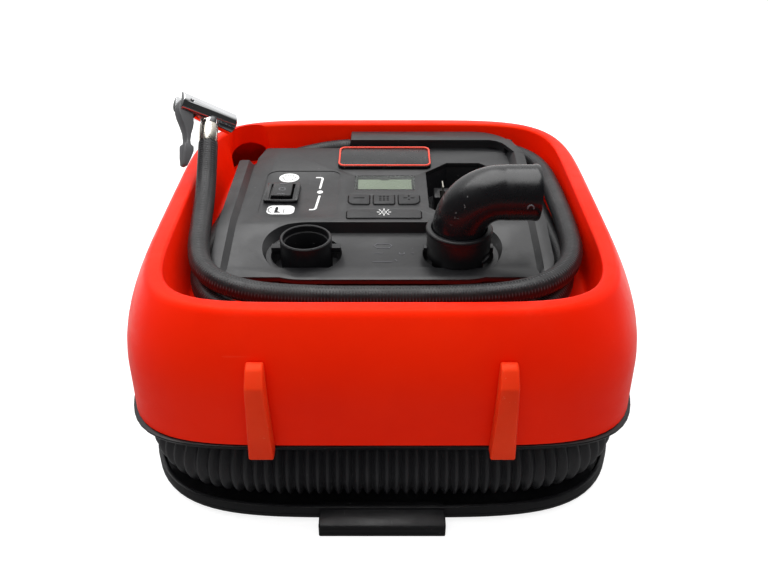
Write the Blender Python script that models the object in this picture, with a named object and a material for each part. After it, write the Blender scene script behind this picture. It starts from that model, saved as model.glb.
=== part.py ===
"""Portable tyre inflator with a digital gauge. Metres, +Z up, standing on its rubber feet.

The body is a rounded square tub. A black base pan and mid frame hold the corrugated air hose
between them, an orange shell forms a tray on top, and the control panel sits in the tray.
Left is -X, the front is -Y. Everything hangs on one empty at the middle of the tub.
"""
import math

import bmesh
import bpy
from mathutils import Matrix, Vector

# Clearances
GAP = 0.0003              # between pieces that seat on each other
RUN_GAP = 0.0004          # round keys, the rocker, the lifting nozzle and shafts
RING_POINTS = 56          # corners of the rounded square outlines

# Heights, stacked from the table up
FOOT_HEIGHT = 0.0020
FLANGE_DEPTH = 0.0057     # underside of the pan to the hose groove's floor
FLANGE_LIP = 0.0045       # the lip stands above the groove's floor
GROOVE_HEIGHT = 0.0517
FRAME_THICK = 0.0042
SHELL_HEIGHT = 0.0815
TRAY_DEPTH = 0.0305
PAN_FLOOR = 0.0030

# Outlines: half widths, half depths and the power of each rounded square
SHELL_HALF_X = 0.1520
SHELL_HALF_Y = 0.1470
SHELL_POWER = 5.8
SHOULDER_INSET = 0.0150   # the rim stands this far inside the widest outline
SHOULDER_START = 0.35     # share of the shell's height where the wall turns in
RIM_WIDTH = 0.0098
RIM_ROUND = 0.0012
RIM_POWER = 5.0
WALL = 0.0028
TRAY_POWER = 6.3
TRAY_DRAFT = 0.0025       # the tray's walls lean in towards the floor
TRAY_LEFT_SLOPE = 0.0110  # the left wall leans in further, under the rising hose
FLANGE_INSET_X = 0.0010   # the pan's flange inside the shell's outline
FLANGE_INSET_Y = 0.0017
FLANGE_POWER = 4.3
LIP_WIDTH = 0.0028
FRAME_INSET = 0.0006
GROOVE_DEPTH_X = 0.0480   # flange's edge to the pan's core
GROOVE_DEPTH_Y = 0.0473
CORE_POWER = 5.0
CORE_WALL = 0.0030

# Places along Y marked "rear" are measured forward from the tray's rear wall.

# Chuck pocket in the tray's left rear corner
POCKET_RADIUS = 0.0230
POCKET_LEFT = 0.0327      # its middle from the tray's left wall
POCKET_REAR = 0.0322
POCKET_DEPTH = 0.0115

# Stand feet and the stand block
STAND_PROUD = 0.0094      # the plane the inflator stands up on, in front of the shell
STAND_FOOT_X = 0.0664
STAND_FOOT_TOP_WIDTH = 0.0094
STAND_FOOT_WIDTH = 0.0140
STAND_FOOT_HEIGHT = 0.0600
STAND_FOOT_DROP = 0.0015  # below the shell's edge
STAND_BLOCK_WIDTH = 0.0750
STAND_BLOCK_HEIGHT = 0.0127
STAND_BLOCK_DEPTH = 0.0180
FOOT_RADIUS = 0.0090
FOOT_X = 0.1100
FOOT_Y = 0.1040
SCREW_RADIUS = 0.0030
SCREW_LENGTH = 0.0120
SCREW_X = 0.0850
SCREW_Y = 0.0800

# Control panel
PANEL_HALF_X = 0.1040
PANEL_REAR = 0.0222
PANEL_DEPTH = 0.1705
PANEL_CORNER = 0.0140
PANEL_REAR_CORNER = 0.0300
PANEL_NOTCH_X = -0.0890   # the deck is narrower behind the left flange
PANEL_NOTCH_REAR = 0.0552
PANEL_RISE = 0.0200       # deck above the tray floor
PLATE = 0.0030
TROUGH_DEPTH = 0.0077
TROUGH_LENGTH = 0.0425
TROUGH_BORDER = 0.0115    # panel's front edge to the trough
TROUGH_HALF_X = 0.0720
RAMP_BORDER = 0.0105
RAMP_LENGTH = 0.0400
PEDESTAL_INSET_X = 0.0100  # the foot stands this far inside the panel's edge
PEDESTAL_INSET_FRONT = 0.0070
PEDESTAL_INSET_BACK = 0.0120
PEDESTAL_CHAMFER = 0.0240
PEDESTAL_POCKET_CHAMFER = 0.0370   # beside the chuck's pocket
PEDESTAL_WALL = 0.0030
TRAY_LEDGE = 0.0035       # tray floor left under the pedestal
FLANGE_BAR_WIDTH = 0.0115
FLANGE_BAR_RISE = 0.0042
FLANGE_BAR_SLOPE = 0.0045
FLANGE_BAR_REAR = 0.0432  # the right bar runs on towards the bridge
BRIDGE_LEFT = -0.0240
BRIDGE_RIGHT_INSET = 0.0030
BRIDGE_LAP = 0.0085       # its front riser stands on the panel's rear edge
BRIDGE_REACH = 0.0245
BRIDGE_RISE = 0.0067
BRIDGE_THICK = 0.0027
BRIDGE_CORNER = 0.0300
RIB_WIDTH = 0.0030

# Gauge, keys, rocker and badge, as width, depth and middle
WINDOW_SIZE = (0.0430, 0.0205)
WINDOW_X = 0.0020
WINDOW_REAR = 0.0818
WINDOW_BORDER = 0.0020
WINDOW_THICK = 0.0014
KEY_SIZE = (0.0145, 0.0140)
KEY_REAR = 0.1079
KEY_PITCH = 0.0169
KEY_MIDDLE = 0.0011
KEY_PROUD = 0.0008
KEY_DEPTH = 0.0062
KEY_TRAVEL = 0.0008
LIGHT_KEY_SIZE = (0.0490, 0.0120)
LIGHT_KEY_REAR = 0.1284
BEZEL_SIZE = (0.0216, 0.0286)
BEZEL_X = -0.0702
BEZEL_REAR = 0.0983
BEZEL_BORDER = 0.0028
BEZEL_PROUD = 0.0016
BEZEL_DEPTH = 0.0120
ROCKER_RISE = 0.0030      # the rocker's pivot above the deck
ROCKER_TIP = 0.0022       # its ends above the pivot
ROCKER_DIP = 0.0010
BADGE_SIZE = (0.0680, 0.0280)
BADGE_X = 0.0015
BADGE_REAR = 0.0457
BADGE_THICK = 0.0025
BADGE_CORNER = 0.0040
LCD_THICK = 0.0025
BACKLIGHT_THICK = 0.0020
LCD_BORDER = 0.0030
BOARD_SIZE = (0.0580, 0.0640)
BOARD_X = -0.0030
BOARD_REAR = 0.0962
BOARD_THICK = 0.0016
BOARD_DROP = 0.0066       # under the deck plate

# Battery dock: an eight-sided well
DOCK_LEFT = 0.0310
DOCK_RIGHT = 0.0870
DOCK_LENGTH = 0.0780
DOCK_REAR = 0.0492
DOCK_CHAMFER = 0.0160
DOCK_FRONT_CHAMFER = 0.0080
DOCK_WALL = 0.0022
DOCK_DEPTH = 0.0210
TERMINAL_SIZE = (0.0320, 0.0160, 0.0100)
TERMINAL_X = 0.0560
TERMINAL_REAR = 0.0802
BLADE_SIZE = (0.0010, 0.0120, 0.0060)
BLADE_PITCH = 0.0160
SLOT_GAP = 0.0012

# Air ports and the nozzle
PORT_X = 0.0470
PORT_REAR = 0.1657
PORT_RADIUS = 0.0160
PORT_BORE = 0.0134
PORT_PROUD = 0.0120       # above the lower deck
PORT_SEAT_RADIUS = 0.0190
PORT_SEAT_THICK = 0.0025
WELL_RADIUS = 0.0220
WELL_FRONT = 0.0165       # the well is cut straight at the front
LUG_REACH = 0.0208
LUG_WIDTH = 0.0050
LUG_HEIGHT = 0.0030
LUG_RISE = 0.0027         # lug's underside above the lower deck
SEAL_THICK = 0.0018
COLLAR_WALL = 0.0036
COLLAR_RISE = 0.0072      # collar's top above the port
ELBOW_RADIUS = 0.0164
ELBOW_WALL = 0.0024
ELBOW_BEND = 0.0240
ELBOW_HEIGHT = 0.0302     # mouth's axis above the port's top
ELBOW_REACH = 0.0456
TWIST_LOCK = 35.0         # degrees

# Blower under the ports
BLOWER_HALF_X = 0.0720
BLOWER_HALF_Y = 0.0225
BLOWER_HEIGHT = 0.0290
BLOWER_WALL = 0.0025
BLOWER_TOP = 0.0990
COVER_THICK = 0.0025
IMPELLER_RADIUS = 0.0180
IMPELLER_HEIGHT = 0.0160
IMPELLER_DISC = 0.0020
IMPELLER_LIFT = 0.0020
HUB_RADIUS = 0.0050
BLADE_COUNT = 8
BLOWER_MOTOR_RADIUS = 0.0165
BLOWER_SHAFT = 0.0016

# Pump
GEAR_MODULE = 0.0010
GEAR_TEETH = 40
PINION_TEETH = 10
GEAR_WIDTH = 0.0060
GEAR_X = -0.0200
PUMP_Y = 0.0050           # the middle plane of the cylinder
PUMP_Z = 0.0360
CRANK_RADIUS = 0.0080
CRANK_PIN_RADIUS = 0.0020
GEAR_SHAFT_RADIUS = 0.0030
ROD_LENGTH = 0.0420
ROD_WIDTH = 0.0050
ROD_EYE_RADIUS = 0.0046
ROD_SHANK = 0.0056
CRANK_CLEAR = 0.0006
PISTON_THICK = 0.0060
CYLINDER_BORE = 0.0100
CYLINDER_WALL = 0.0025
CYLINDER_LENGTH = 0.0300
HEAD_LENGTH = 0.0070
HEAD_BORDER = 0.0030
NIPPLE_RADIUS = 0.0040
NIPPLE_LENGTH = 0.0060
MOTOR_RADIUS = 0.0180
MOTOR_LENGTH = 0.0420
MOTOR_SHAFT_RADIUS = 0.0016
FRAME_PLATE = 0.0030
PIPE_RADIUS = 0.0025
SENSOR_SIZE = (0.0120, 0.0100, 0.0050)

# Corrugated hose in the groove
COIL_HOSE_RADIUS = 0.0235
COIL_HOSE_INSET = 0.0230  # its middle line inside the flange's edge
COIL_HOSE_POWER = 5.3
COIL_HOSE_END = 0.0340
COIL_HOSE_PITCH = 0.00575  # from one rib to the next
COIL_HOSE_RIB = 0.0032  # depth between two ribs
CUFF_LENGTH = 0.0290
CUFF_WALL = 0.0060
SPIGOT_WEB = 0.0120

# Tyre hose, gland and chuck
HOSE_RADIUS = 0.0066
GLAND_SIZE = (0.0200, 0.0118, 0.0105)
GLAND_NOSE = 0.0150
GLAND_STEM = 0.0050
GLAND_STEM_LENGTH = 0.0080
GLAND_REAR = 0.0217
FERRULE_RADIUS = 0.0064
FERRULE_LENGTH = 0.0138
CHUCK_RADIUS = 0.0075
CHUCK_LENGTH = 0.0430
CHUCK_MOUTH = 0.0190      # mouth face from the hose's axis
CHUCK_BORE = 0.0042
CHUCK_NECK = 0.0010       # neck below the barrel
CHUCK_SLOT = 0.0070
CHUCK_SLOT_DEPTH = 0.0120
CHUCK_SEAL_THICK = 0.0030
LEVER_WIDTH = 0.0062
LEVER_LENGTH = 0.0460
LEVER_PIN_RADIUS = 0.0012
LEVER_SHAPE = (           # share of its length, then left and right sides
    (0.18, -1.15, 0.90), (0.36, -0.95, 1.25), (0.55, -0.45, 1.90),
    (0.72, -0.10, 2.90), (0.88, -0.10, 3.60), (1.00, 0.05, 3.20),
)
CHUCK_ROLL = 44.5         # degrees, the lever end stands higher
CHUCK_LEAN = 36.0         # degrees, the hose's last stretch above level

# Route of the tyre hose: twice round the tray, then up over the left wall to the chuck
HOSE_ROUTE = (
    (0.0455, 0.1005, 0.1224), (0.0580, 0.1005, 0.1224), (0.0730, 0.0970, 0.1224),
    (0.0860, 0.0895, 0.1224), (0.0960, 0.0780, 0.1224), (0.1030, 0.0620, 0.1224),
    (0.1065, 0.0420, 0.1224), (0.1085, 0.0150, 0.1224), (0.1108, -0.0150, 0.1224),
    (0.1118, -0.0420, 0.1224), (0.1092, -0.0640, 0.1224), (0.1015, -0.0830, 0.1224),
    (0.0840, -0.0990, 0.1224), (0.0580, -0.1070, 0.1224), (0.0200, -0.1085, 0.1224),
    (-0.0200, -0.1085, 0.1224), (-0.0580, -0.1070, 0.1224), (-0.0840, -0.0990, 0.1224),
    (-0.1015, -0.0830, 0.1224), (-0.1092, -0.0640, 0.1224), (-0.1113, -0.0420, 0.1224),
    (-0.1092, -0.0180, 0.1224), (-0.1055, 0.0080, 0.1224), (-0.1030, 0.0350, 0.1224),
    (-0.1018, 0.0590, 0.1224), (-0.0965, 0.0795, 0.1228), (-0.0825, 0.0965, 0.1238),
    (-0.0620, 0.1070, 0.1265), (-0.0400, 0.1100, 0.1300), (-0.0160, 0.1102, 0.1318),
    (0.0150, 0.1102, 0.1320), (0.0450, 0.1102, 0.1320), (0.0670, 0.1096, 0.1320),
    (0.0850, 0.1065, 0.1320), (0.0995, 0.0980, 0.1321), (0.1100, 0.0850, 0.1323),
    (0.1158, 0.0680, 0.1326), (0.1178, 0.0420, 0.1335), (0.1182, 0.0100, 0.1342),
    (0.1176, -0.0250, 0.1348), (0.1150, -0.0530, 0.1354), (0.1075, -0.0740, 0.1359),
    (0.0930, -0.0900, 0.1360), (0.0700, -0.0985, 0.1352), (0.0350, -0.1012, 0.1344),
    (0.0000, -0.1014, 0.1342), (-0.0350, -0.1012, 0.1344), (-0.0680, -0.0985, 0.1352),
    (-0.0900, -0.0900, 0.1360), (-0.1040, -0.0750, 0.1366), (-0.1105, -0.0560, 0.1377),
    (-0.1135, -0.0320, 0.1400), (-0.1155, -0.0080, 0.1435), (-0.1170, 0.0110, 0.1490),
    (-0.1180, 0.0250, 0.1562), (-0.1187, 0.0388, 0.1655),
)
HOSE_STEPS = 78           # straight pieces along the tube

PIPE_STEPS = 36

# Derived levels
PAN_BOTTOM = FOOT_HEIGHT + GAP
GROOVE_FLOOR = PAN_BOTTOM + FLANGE_DEPTH
PAN_TOP = GROOVE_FLOOR + GROOVE_HEIGHT
FRAME_BOTTOM = PAN_TOP + GAP
SHELL_BOTTOM = FRAME_BOTTOM + FRAME_THICK + GAP
RIM_TOP = SHELL_BOTTOM + SHELL_HEIGHT
TRAY_FLOOR = RIM_TOP - TRAY_DEPTH
DECK = TRAY_FLOOR + PANEL_RISE
DECK_UNDER = DECK - PLATE
LOWER_DECK = DECK - TROUGH_DEPTH
INNER_FLOOR = PAN_BOTTOM + PAN_FLOOR
PORT_TOP = LOWER_DECK + PORT_PROUD

# Derived outlines and places
TRAY_HALF_X = SHELL_HALF_X - SHOULDER_INSET - RIM_WIDTH
TRAY_HALF_Y = SHELL_HALF_Y - SHOULDER_INSET - RIM_WIDTH
STAND_REACH = SHELL_HALF_Y + STAND_PROUD
BODY_Y = STAND_PROUD / 2.0
FLANGE_HALF_X = SHELL_HALF_X - FLANGE_INSET_X
FLANGE_HALF_Y = SHELL_HALF_Y - FLANGE_INSET_Y
FRAME_HALF_X = SHELL_HALF_X - FRAME_INSET
FRAME_HALF_Y = SHELL_HALF_Y - FRAME_INSET
CORE_HALF_X = FLANGE_HALF_X - GROOVE_DEPTH_X
CORE_HALF_Y = FLANGE_HALF_Y - GROOVE_DEPTH_Y
COIL_HOSE_HALF_X = FLANGE_HALF_X - COIL_HOSE_INSET
COIL_HOSE_HALF_Y = FLANGE_HALF_Y - COIL_HOSE_INSET
POCKET_X = POCKET_LEFT - TRAY_HALF_X
POCKET_Y = TRAY_HALF_Y - POCKET_REAR
PANEL_BACK = TRAY_HALF_Y - PANEL_REAR
PANEL_FRONT = PANEL_BACK - PANEL_DEPTH
PANEL_NOTCH_Y = TRAY_HALF_Y - PANEL_NOTCH_REAR
TROUGH_FRONT = PANEL_FRONT + TROUGH_BORDER
TROUGH_BACK = TROUGH_FRONT + TROUGH_LENGTH
RAMP_FRONT = PANEL_FRONT + RAMP_BORDER
RAMP_BACK = RAMP_FRONT + RAMP_LENGTH
PEDESTAL_HALF_X = PANEL_HALF_X - PEDESTAL_INSET_X
PEDESTAL_FRONT = PANEL_FRONT + PEDESTAL_INSET_FRONT
PEDESTAL_BACK = PANEL_BACK - PEDESTAL_INSET_BACK
FLANGE_BAR_BACK = TRAY_HALF_Y - FLANGE_BAR_REAR
BRIDGE_RIGHT = PANEL_HALF_X - BRIDGE_RIGHT_INSET
BRIDGE_FRONT = PANEL_BACK - BRIDGE_LAP
BRIDGE_BACK = BRIDGE_FRONT + BRIDGE_REACH
WINDOW_AT = (WINDOW_X, TRAY_HALF_Y - WINDOW_REAR)
KEY_Y = TRAY_HALF_Y - KEY_REAR
LIGHT_KEY_Y = TRAY_HALF_Y - LIGHT_KEY_REAR
BEZEL_AT = (BEZEL_X, TRAY_HALF_Y - BEZEL_REAR)
BADGE_AT = (BADGE_X, TRAY_HALF_Y - BADGE_REAR)
BOARD_AT = (BOARD_X, TRAY_HALF_Y - BOARD_REAR)
DOCK_BACK = TRAY_HALF_Y - DOCK_REAR
DOCK_FRONT = DOCK_BACK - DOCK_LENGTH
TERMINAL_AT = (TERMINAL_X, TRAY_HALF_Y - TERMINAL_REAR)
PORT_Y = TRAY_HALF_Y - PORT_REAR
GLAND_X = HOSE_ROUTE[0][0] - GLAND_NOSE - GLAND_SIZE[0] / 2
GLAND_Y = TRAY_HALF_Y - GLAND_REAR

COLOURS = {
    "orange": ((0.80, 0.060, 0.010), 0.35, 0.0),
    "red_clear": ((0.82, 0.050, 0.015), 0.45, 0.0),
    "black": ((0.022, 0.022, 0.025), 0.45, 0.0),
    "grey": ((0.085, 0.086, 0.092), 0.50, 0.0),
    "rubber": ((0.030, 0.030, 0.032), 0.70, 0.0),
    "chrome": ((0.80, 0.80, 0.80), 0.12, 1.0),
    "nickel": ((0.60, 0.57, 0.50), 0.30, 1.0),
    "steel": ((0.50, 0.50, 0.51), 0.35, 1.0),
    "glass": ((0.42, 0.47, 0.38), 0.10, 0.0),
    "display": ((0.30, 0.35, 0.27), 0.40, 0.0),
    "white": ((0.75, 0.75, 0.73), 0.50, 0.0),
    "board": ((0.02, 0.16, 0.07), 0.50, 0.0),
    "brass": ((0.62, 0.45, 0.16), 0.30, 1.0),
    "alloy": ((0.55, 0.56, 0.58), 0.40, 1.0),
}


# ---------------------------------------------------------------- helpers

def clear_scene():
    for obj in list(bpy.data.objects):
        bpy.data.objects.remove(obj, do_unlink=True)


def node_material(name, kind):
    colour, roughness, metallic = COLOURS[kind]
    material = bpy.data.materials.new(name + "_material")
    material.use_nodes = True
    shader = material.node_tree.nodes["Principled BSDF"]
    shader.inputs["Base Color"].default_value = (*colour, 1.0)
    shader.inputs["Roughness"].default_value = roughness
    shader.inputs["Metallic"].default_value = metallic
    return material


def add_object(name, mesh, kind, parent, at=(0.0, 0.0, 0.0)):
    obj = bpy.data.objects.new(name, mesh)
    bpy.context.collection.objects.link(obj)
    obj.parent = parent
    obj.location = at
    if kind is None:
        obj.hide_render = True
        obj.display_type = "WIRE"
    else:
        mesh.materials.append(node_material(name, kind))
    return obj


def finish_mesh(name, bm, smooth=None):
    bmesh.ops.remove_doubles(bm, verts=bm.verts, dist=1e-6)
    bmesh.ops.recalc_face_normals(bm, faces=bm.faces)
    mesh = bpy.data.meshes.new(name)
    bm.to_mesh(mesh)
    bm.free()
    if smooth is not None:
        mesh.shade_smooth()
        mesh.set_sharp_from_angle(angle=math.radians(smooth))
    return mesh


def add_piece(name, bm, kind, parent, at=(0.0, 0.0, 0.0), smooth=None):
    return add_object(name, finish_mesh(name, bm, smooth), kind, parent, at)


def boolean(target, tool, operation):
    modifier = target.modifiers.new(tool.name, "BOOLEAN")
    modifier.operation = operation
    modifier.solver = "EXACT"
    modifier.object = tool


def cut(target, *tools):
    for tool in tools:
        boolean(target, tool, "DIFFERENCE")


def join(target, *tools):
    for tool in tools:
        boolean(target, tool, "UNION")


def square_ring(half_x, half_y, power, z, centre_x=0.0):
    """Points of a rounded square, a superellipse, at height z."""
    points = []
    for step in range(RING_POINTS):
        angle = 2.0 * math.pi * step / RING_POINTS
        c, s = math.cos(angle), math.sin(angle)
        x = math.copysign(abs(c) ** (2.0 / power), c) * half_x
        y = math.copysign(abs(s) ** (2.0 / power), s) * half_y
        points.append((x + centre_x, y, z))
    return points


def loft(rings):
    """A closed solid through rings of equally many points, extruded from one to the next."""
    bm = bmesh.new()
    place = bm.verts.layers.int.new("place")
    first = [bm.verts.new(point) for point in rings[0]]
    for index, vert in enumerate(first):
        vert[place] = index
    edges = [bm.edges.new((first[i - 1], first[i])) for i in range(len(first))]
    bmesh.ops.contextual_create(bm, geom=edges)
    for ring in rings[1:]:
        made = bmesh.ops.extrude_edge_only(bm, edges=edges)["geom"]
        for vert in made:
            if isinstance(vert, bmesh.types.BMVert):
                vert.co = ring[vert[place]]
        edges = [item for item in made if isinstance(item, bmesh.types.BMEdge)]
    bmesh.ops.contextual_create(bm, geom=edges)
    return bm


def prism(outline, low, high):
    """An outline in X and Y, extruded along Z."""
    bm = bmesh.new()
    face = bm.faces.new([bm.verts.new((x, y, low)) for x, y in outline])
    made = bmesh.ops.extrude_face_region(bm, geom=[face])["geom"]
    top = [item for item in made if isinstance(item, bmesh.types.BMVert)]
    bmesh.ops.translate(bm, verts=top, vec=(0.0, 0.0, high - low))
    return bm


def side_prism(outline, left, right):
    """An outline in Y and Z, extruded along X."""
    bm = prism(outline, left, right)
    turn = Matrix(((0.0, 0.0, 1.0), (1.0, 0.0, 0.0), (0.0, 1.0, 0.0)))
    bmesh.ops.transform(bm, matrix=turn.to_4x4(), verts=bm.verts)
    return bm


def block(size_x, size_y, low, high, x=0.0, y=0.0):
    return prism(rectangle(size_x, size_y, x, y), low, high)


def rectangle(size_x, size_y, x=0.0, y=0.0):
    a, b = size_x / 2.0, size_y / 2.0
    return [(x - a, y - b), (x + a, y - b), (x + a, y + b), (x - a, y + b)]


def arc(centre_x, centre_y, radius, start, end, steps):
    points = []
    for step in range(steps + 1):
        angle = math.radians(start + (end - start) * step / steps)
        points.append((centre_x + radius * math.cos(angle), centre_y + radius * math.sin(angle)))
    return points


def rounded_rectangle(size_x, size_y, radius, x=0.0, y=0.0, steps=4):
    a, b = size_x / 2.0 - radius, size_y / 2.0 - radius
    points = []
    for sx, sy, start in ((1, -1, -90), (1, 1, 0), (-1, 1, 90), (-1, -1, 180)):
        points += arc(x + sx * a, y + sy * b, radius, start, start + 90, steps)
    return points


def dock_outline(out):
    """The battery well, an eight-sided outline, grown outward for its walls."""
    left, right = DOCK_LEFT - out, DOCK_RIGHT + out
    front, back = DOCK_FRONT - out, DOCK_BACK + out
    return [(left, front + DOCK_FRONT_CHAMFER), (left + DOCK_FRONT_CHAMFER, front),
            (right - DOCK_FRONT_CHAMFER, front), (right, front + DOCK_FRONT_CHAMFER),
            (right, back - DOCK_CHAMFER), (right - DOCK_CHAMFER, back),
            (left + DOCK_CHAMFER, back), (left, back - DOCK_CHAMFER)]


def lathe(profile, steps=32, turn=360.0):
    """A closed outline of radius and height, spun about Z."""
    bm = bmesh.new()
    verts = [bm.verts.new((radius, 0.0, z)) for radius, z in profile]
    if turn < 360.0:
        face = bm.faces.new(verts)
        geometry = [face, *face.verts, *face.edges]
    else:
        edges = [bm.edges.new((verts[i - 1], verts[i])) for i in range(len(verts))
                 if profile[i - 1][0] > 0.0 or profile[i][0] > 0.0]
        geometry = [*verts, *edges]
    bmesh.ops.spin(bm, geom=geometry, cent=(0, 0, 0), axis=(0, 0, 1), dvec=(0, 0, 0),
                   angle=math.radians(turn), steps=steps, use_merge=turn >= 360.0,
                   use_duplicate=False)
    return bm


def rod(radius, low, high, steps=24):
    bm = bmesh.new()
    bmesh.ops.create_cone(bm, cap_ends=True, segments=steps, radius1=radius, radius2=radius,
                          depth=high - low)
    bmesh.ops.translate(bm, verts=bm.verts, vec=(0.0, 0.0, (high + low) / 2.0))
    return bm


def tube_profile(inner, outer, low, high):
    return [(outer, high), (outer, low), (inner, low), (inner, high)]


def lay(bm, axis):
    """Turn a piece made along Z so that it runs along X or Y."""
    turn = {"X": Matrix.Rotation(math.pi / 2, 4, "Y"), "Y": Matrix.Rotation(-math.pi / 2, 4, "X")}
    bmesh.ops.transform(bm, matrix=turn[axis], verts=bm.verts)
    return bm


def moved(bm, x=0.0, y=0.0, z=0.0):
    bmesh.ops.translate(bm, verts=bm.verts, vec=(x, y, z))
    return bm


def smooth_path(points, steps):
    """Evenly spaced points on a smooth curve through the given ones."""
    knots = [Vector(point) for point in points]
    knots = [2 * knots[0] - knots[1], *knots, 2 * knots[-1] - knots[-2]]
    fine = []
    for i in range(1, len(knots) - 2):
        p0, p1, p2, p3 = knots[i - 1:i + 3]
        for part in range(12):
            t = part / 12.0
            fine.append(0.5 * (2 * p1 + (p2 - p0) * t + (2 * p0 - 5 * p1 + 4 * p2 - p3) * t ** 2
                               + (3 * p1 - p0 - 3 * p2 + p3) * t ** 3))
    fine.append(knots[-2])
    reach = [0.0]
    for a, b in zip(fine, fine[1:]):
        reach.append(reach[-1] + (b - a).length)
    path, at = [], 0
    for step in range(steps + 1):
        want = reach[-1] * step / steps
        while at < len(reach) - 2 and reach[at + 1] < want:
            at += 1
        share = (want - reach[at]) / (reach[at + 1] - reach[at])
        path.append(fine[at].lerp(fine[at + 1], share))
    return path


def path_length(path):
    """Length of a path along its points."""
    return sum((b - a).length for a, b in zip(path, path[1:]))


def add_tube(name, path, radius, kind, parent, resolution=2, shares=None):
    """A round tube along a path, as a curve with a bevel and filled caps."""
    curve = bpy.data.curves.new(name, "CURVE")
    curve.dimensions = "3D"
    curve.bevel_depth = radius
    curve.bevel_resolution = resolution
    curve.use_fill_caps = True
    spline = curve.splines.new("POLY")
    spline.points.add(len(path) - 1)
    for point, place, share in zip(spline.points, path, shares or [1.0] * len(path)):
        point.co = (*place, 1.0)
        point.radius = share
    return add_object(name, curve, kind, parent)


def add_empty(name, at, parent=None):
    empty = bpy.data.objects.new(name, None)
    bpy.context.collection.objects.link(empty)
    empty.location = at
    empty.parent = parent
    return empty


# ---------------------------------------------------------------- housing

def shell_inset(share):
    """How far the shell's outside has turned in at a share of its height."""
    turned = max(0.0, (share - SHOULDER_START) / (1.0 - SHOULDER_START))
    return SHOULDER_INSET * turned ** 2.2


def outer_ring(share, inward=0.0):
    inset = shell_inset(share) + inward
    power = SHELL_POWER + (RIM_POWER - SHELL_POWER) * share
    return square_ring(SHELL_HALF_X - inset, SHELL_HALF_Y - inset, power,
                       SHELL_BOTTOM + SHELL_HEIGHT * share)


def tray_ring(z, outward=0.0):
    """The tray's wall at height z; its left side leans in towards the floor."""
    down = (RIM_TOP - z) / TRAY_DEPTH
    lean = TRAY_DRAFT * down
    left = TRAY_HALF_X - lean - (TRAY_LEFT_SLOPE - TRAY_DRAFT) * down + outward
    right = TRAY_HALF_X - lean + outward
    return square_ring((left + right) / 2.0, TRAY_HALF_Y - lean + outward, TRAY_POWER, z,
                       (right - left) / 2.0)


def pedestal_outline(inward):
    """The panel's foot on the tray floor, with its rear corners cut off for the hose."""
    half, back = PEDESTAL_HALF_X - inward, PEDESTAL_BACK - inward
    return [(-half, PEDESTAL_FRONT + inward), (half, PEDESTAL_FRONT + inward),
            (half, back - PEDESTAL_CHAMFER), (half - PEDESTAL_CHAMFER, back),
            (PEDESTAL_POCKET_CHAMFER - half, back), (-half, back - PEDESTAL_POCKET_CHAMFER)]


def build_shell(body):
    shares = (0.0, 0.2, 0.4, 0.55, 0.68, 0.80, 0.90)
    rings = [tray_ring(TRAY_FLOOR), tray_ring(TRAY_FLOOR + TRAY_DEPTH / 2),
             tray_ring(RIM_TOP - RIM_ROUND)]
    top = tray_ring(RIM_TOP)
    rings.append([(x * (1 + RIM_ROUND / SHELL_HALF_X), y * (1 + RIM_ROUND / SHELL_HALF_Y), z)
                  for x, y, z in top])
    crown = square_ring(SHELL_HALF_X - SHOULDER_INSET - RIM_ROUND,
                        SHELL_HALF_Y - SHOULDER_INSET - RIM_ROUND, RIM_POWER, RIM_TOP)
    rings.append(crown)
    rings += [outer_ring(share) for share in (0.975, *reversed(shares))]
    rings += [outer_ring(share, WALL) for share in shares]
    rings.append(tray_ring(SHELL_BOTTOM + SHELL_HEIGHT * shares[-1] + WALL, WALL))
    rings.append(tray_ring(TRAY_FLOOR - WALL, WALL))
    shell = add_piece("upper_shell", loft(rings), "orange", body, smooth=30)
    pocket_low = TRAY_FLOOR - POCKET_DEPTH
    well = lathe([(0.0, TRAY_FLOOR - WALL / 2), (POCKET_RADIUS + WALL, TRAY_FLOOR - WALL / 2),
                  (POCKET_RADIUS + WALL, pocket_low - WALL), (0.0, pocket_low - WALL)], 20)
    join(shell, add_piece("pocket_wall", moved(well, POCKET_X, POCKET_Y), None, body))
    hollow = rod(POCKET_RADIUS, pocket_low, RIM_TOP + WALL, 20)
    cut(shell, add_piece("pocket_hollow", moved(hollow, POCKET_X, POCKET_Y), None, body))
    opening = prism(pedestal_outline(TRAY_LEDGE), TRAY_FLOOR - 2 * WALL, TRAY_FLOOR + WALL)
    stem = rod(GLAND_STEM + RUN_GAP, TRAY_FLOOR - 2 * WALL, TRAY_FLOOR + WALL, 16)
    cut(shell, add_piece("panel_opening", opening, None, body),
        add_piece("gland_hole", moved(stem, GLAND_X, GLAND_Y), None, body))
    return shell


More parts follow.
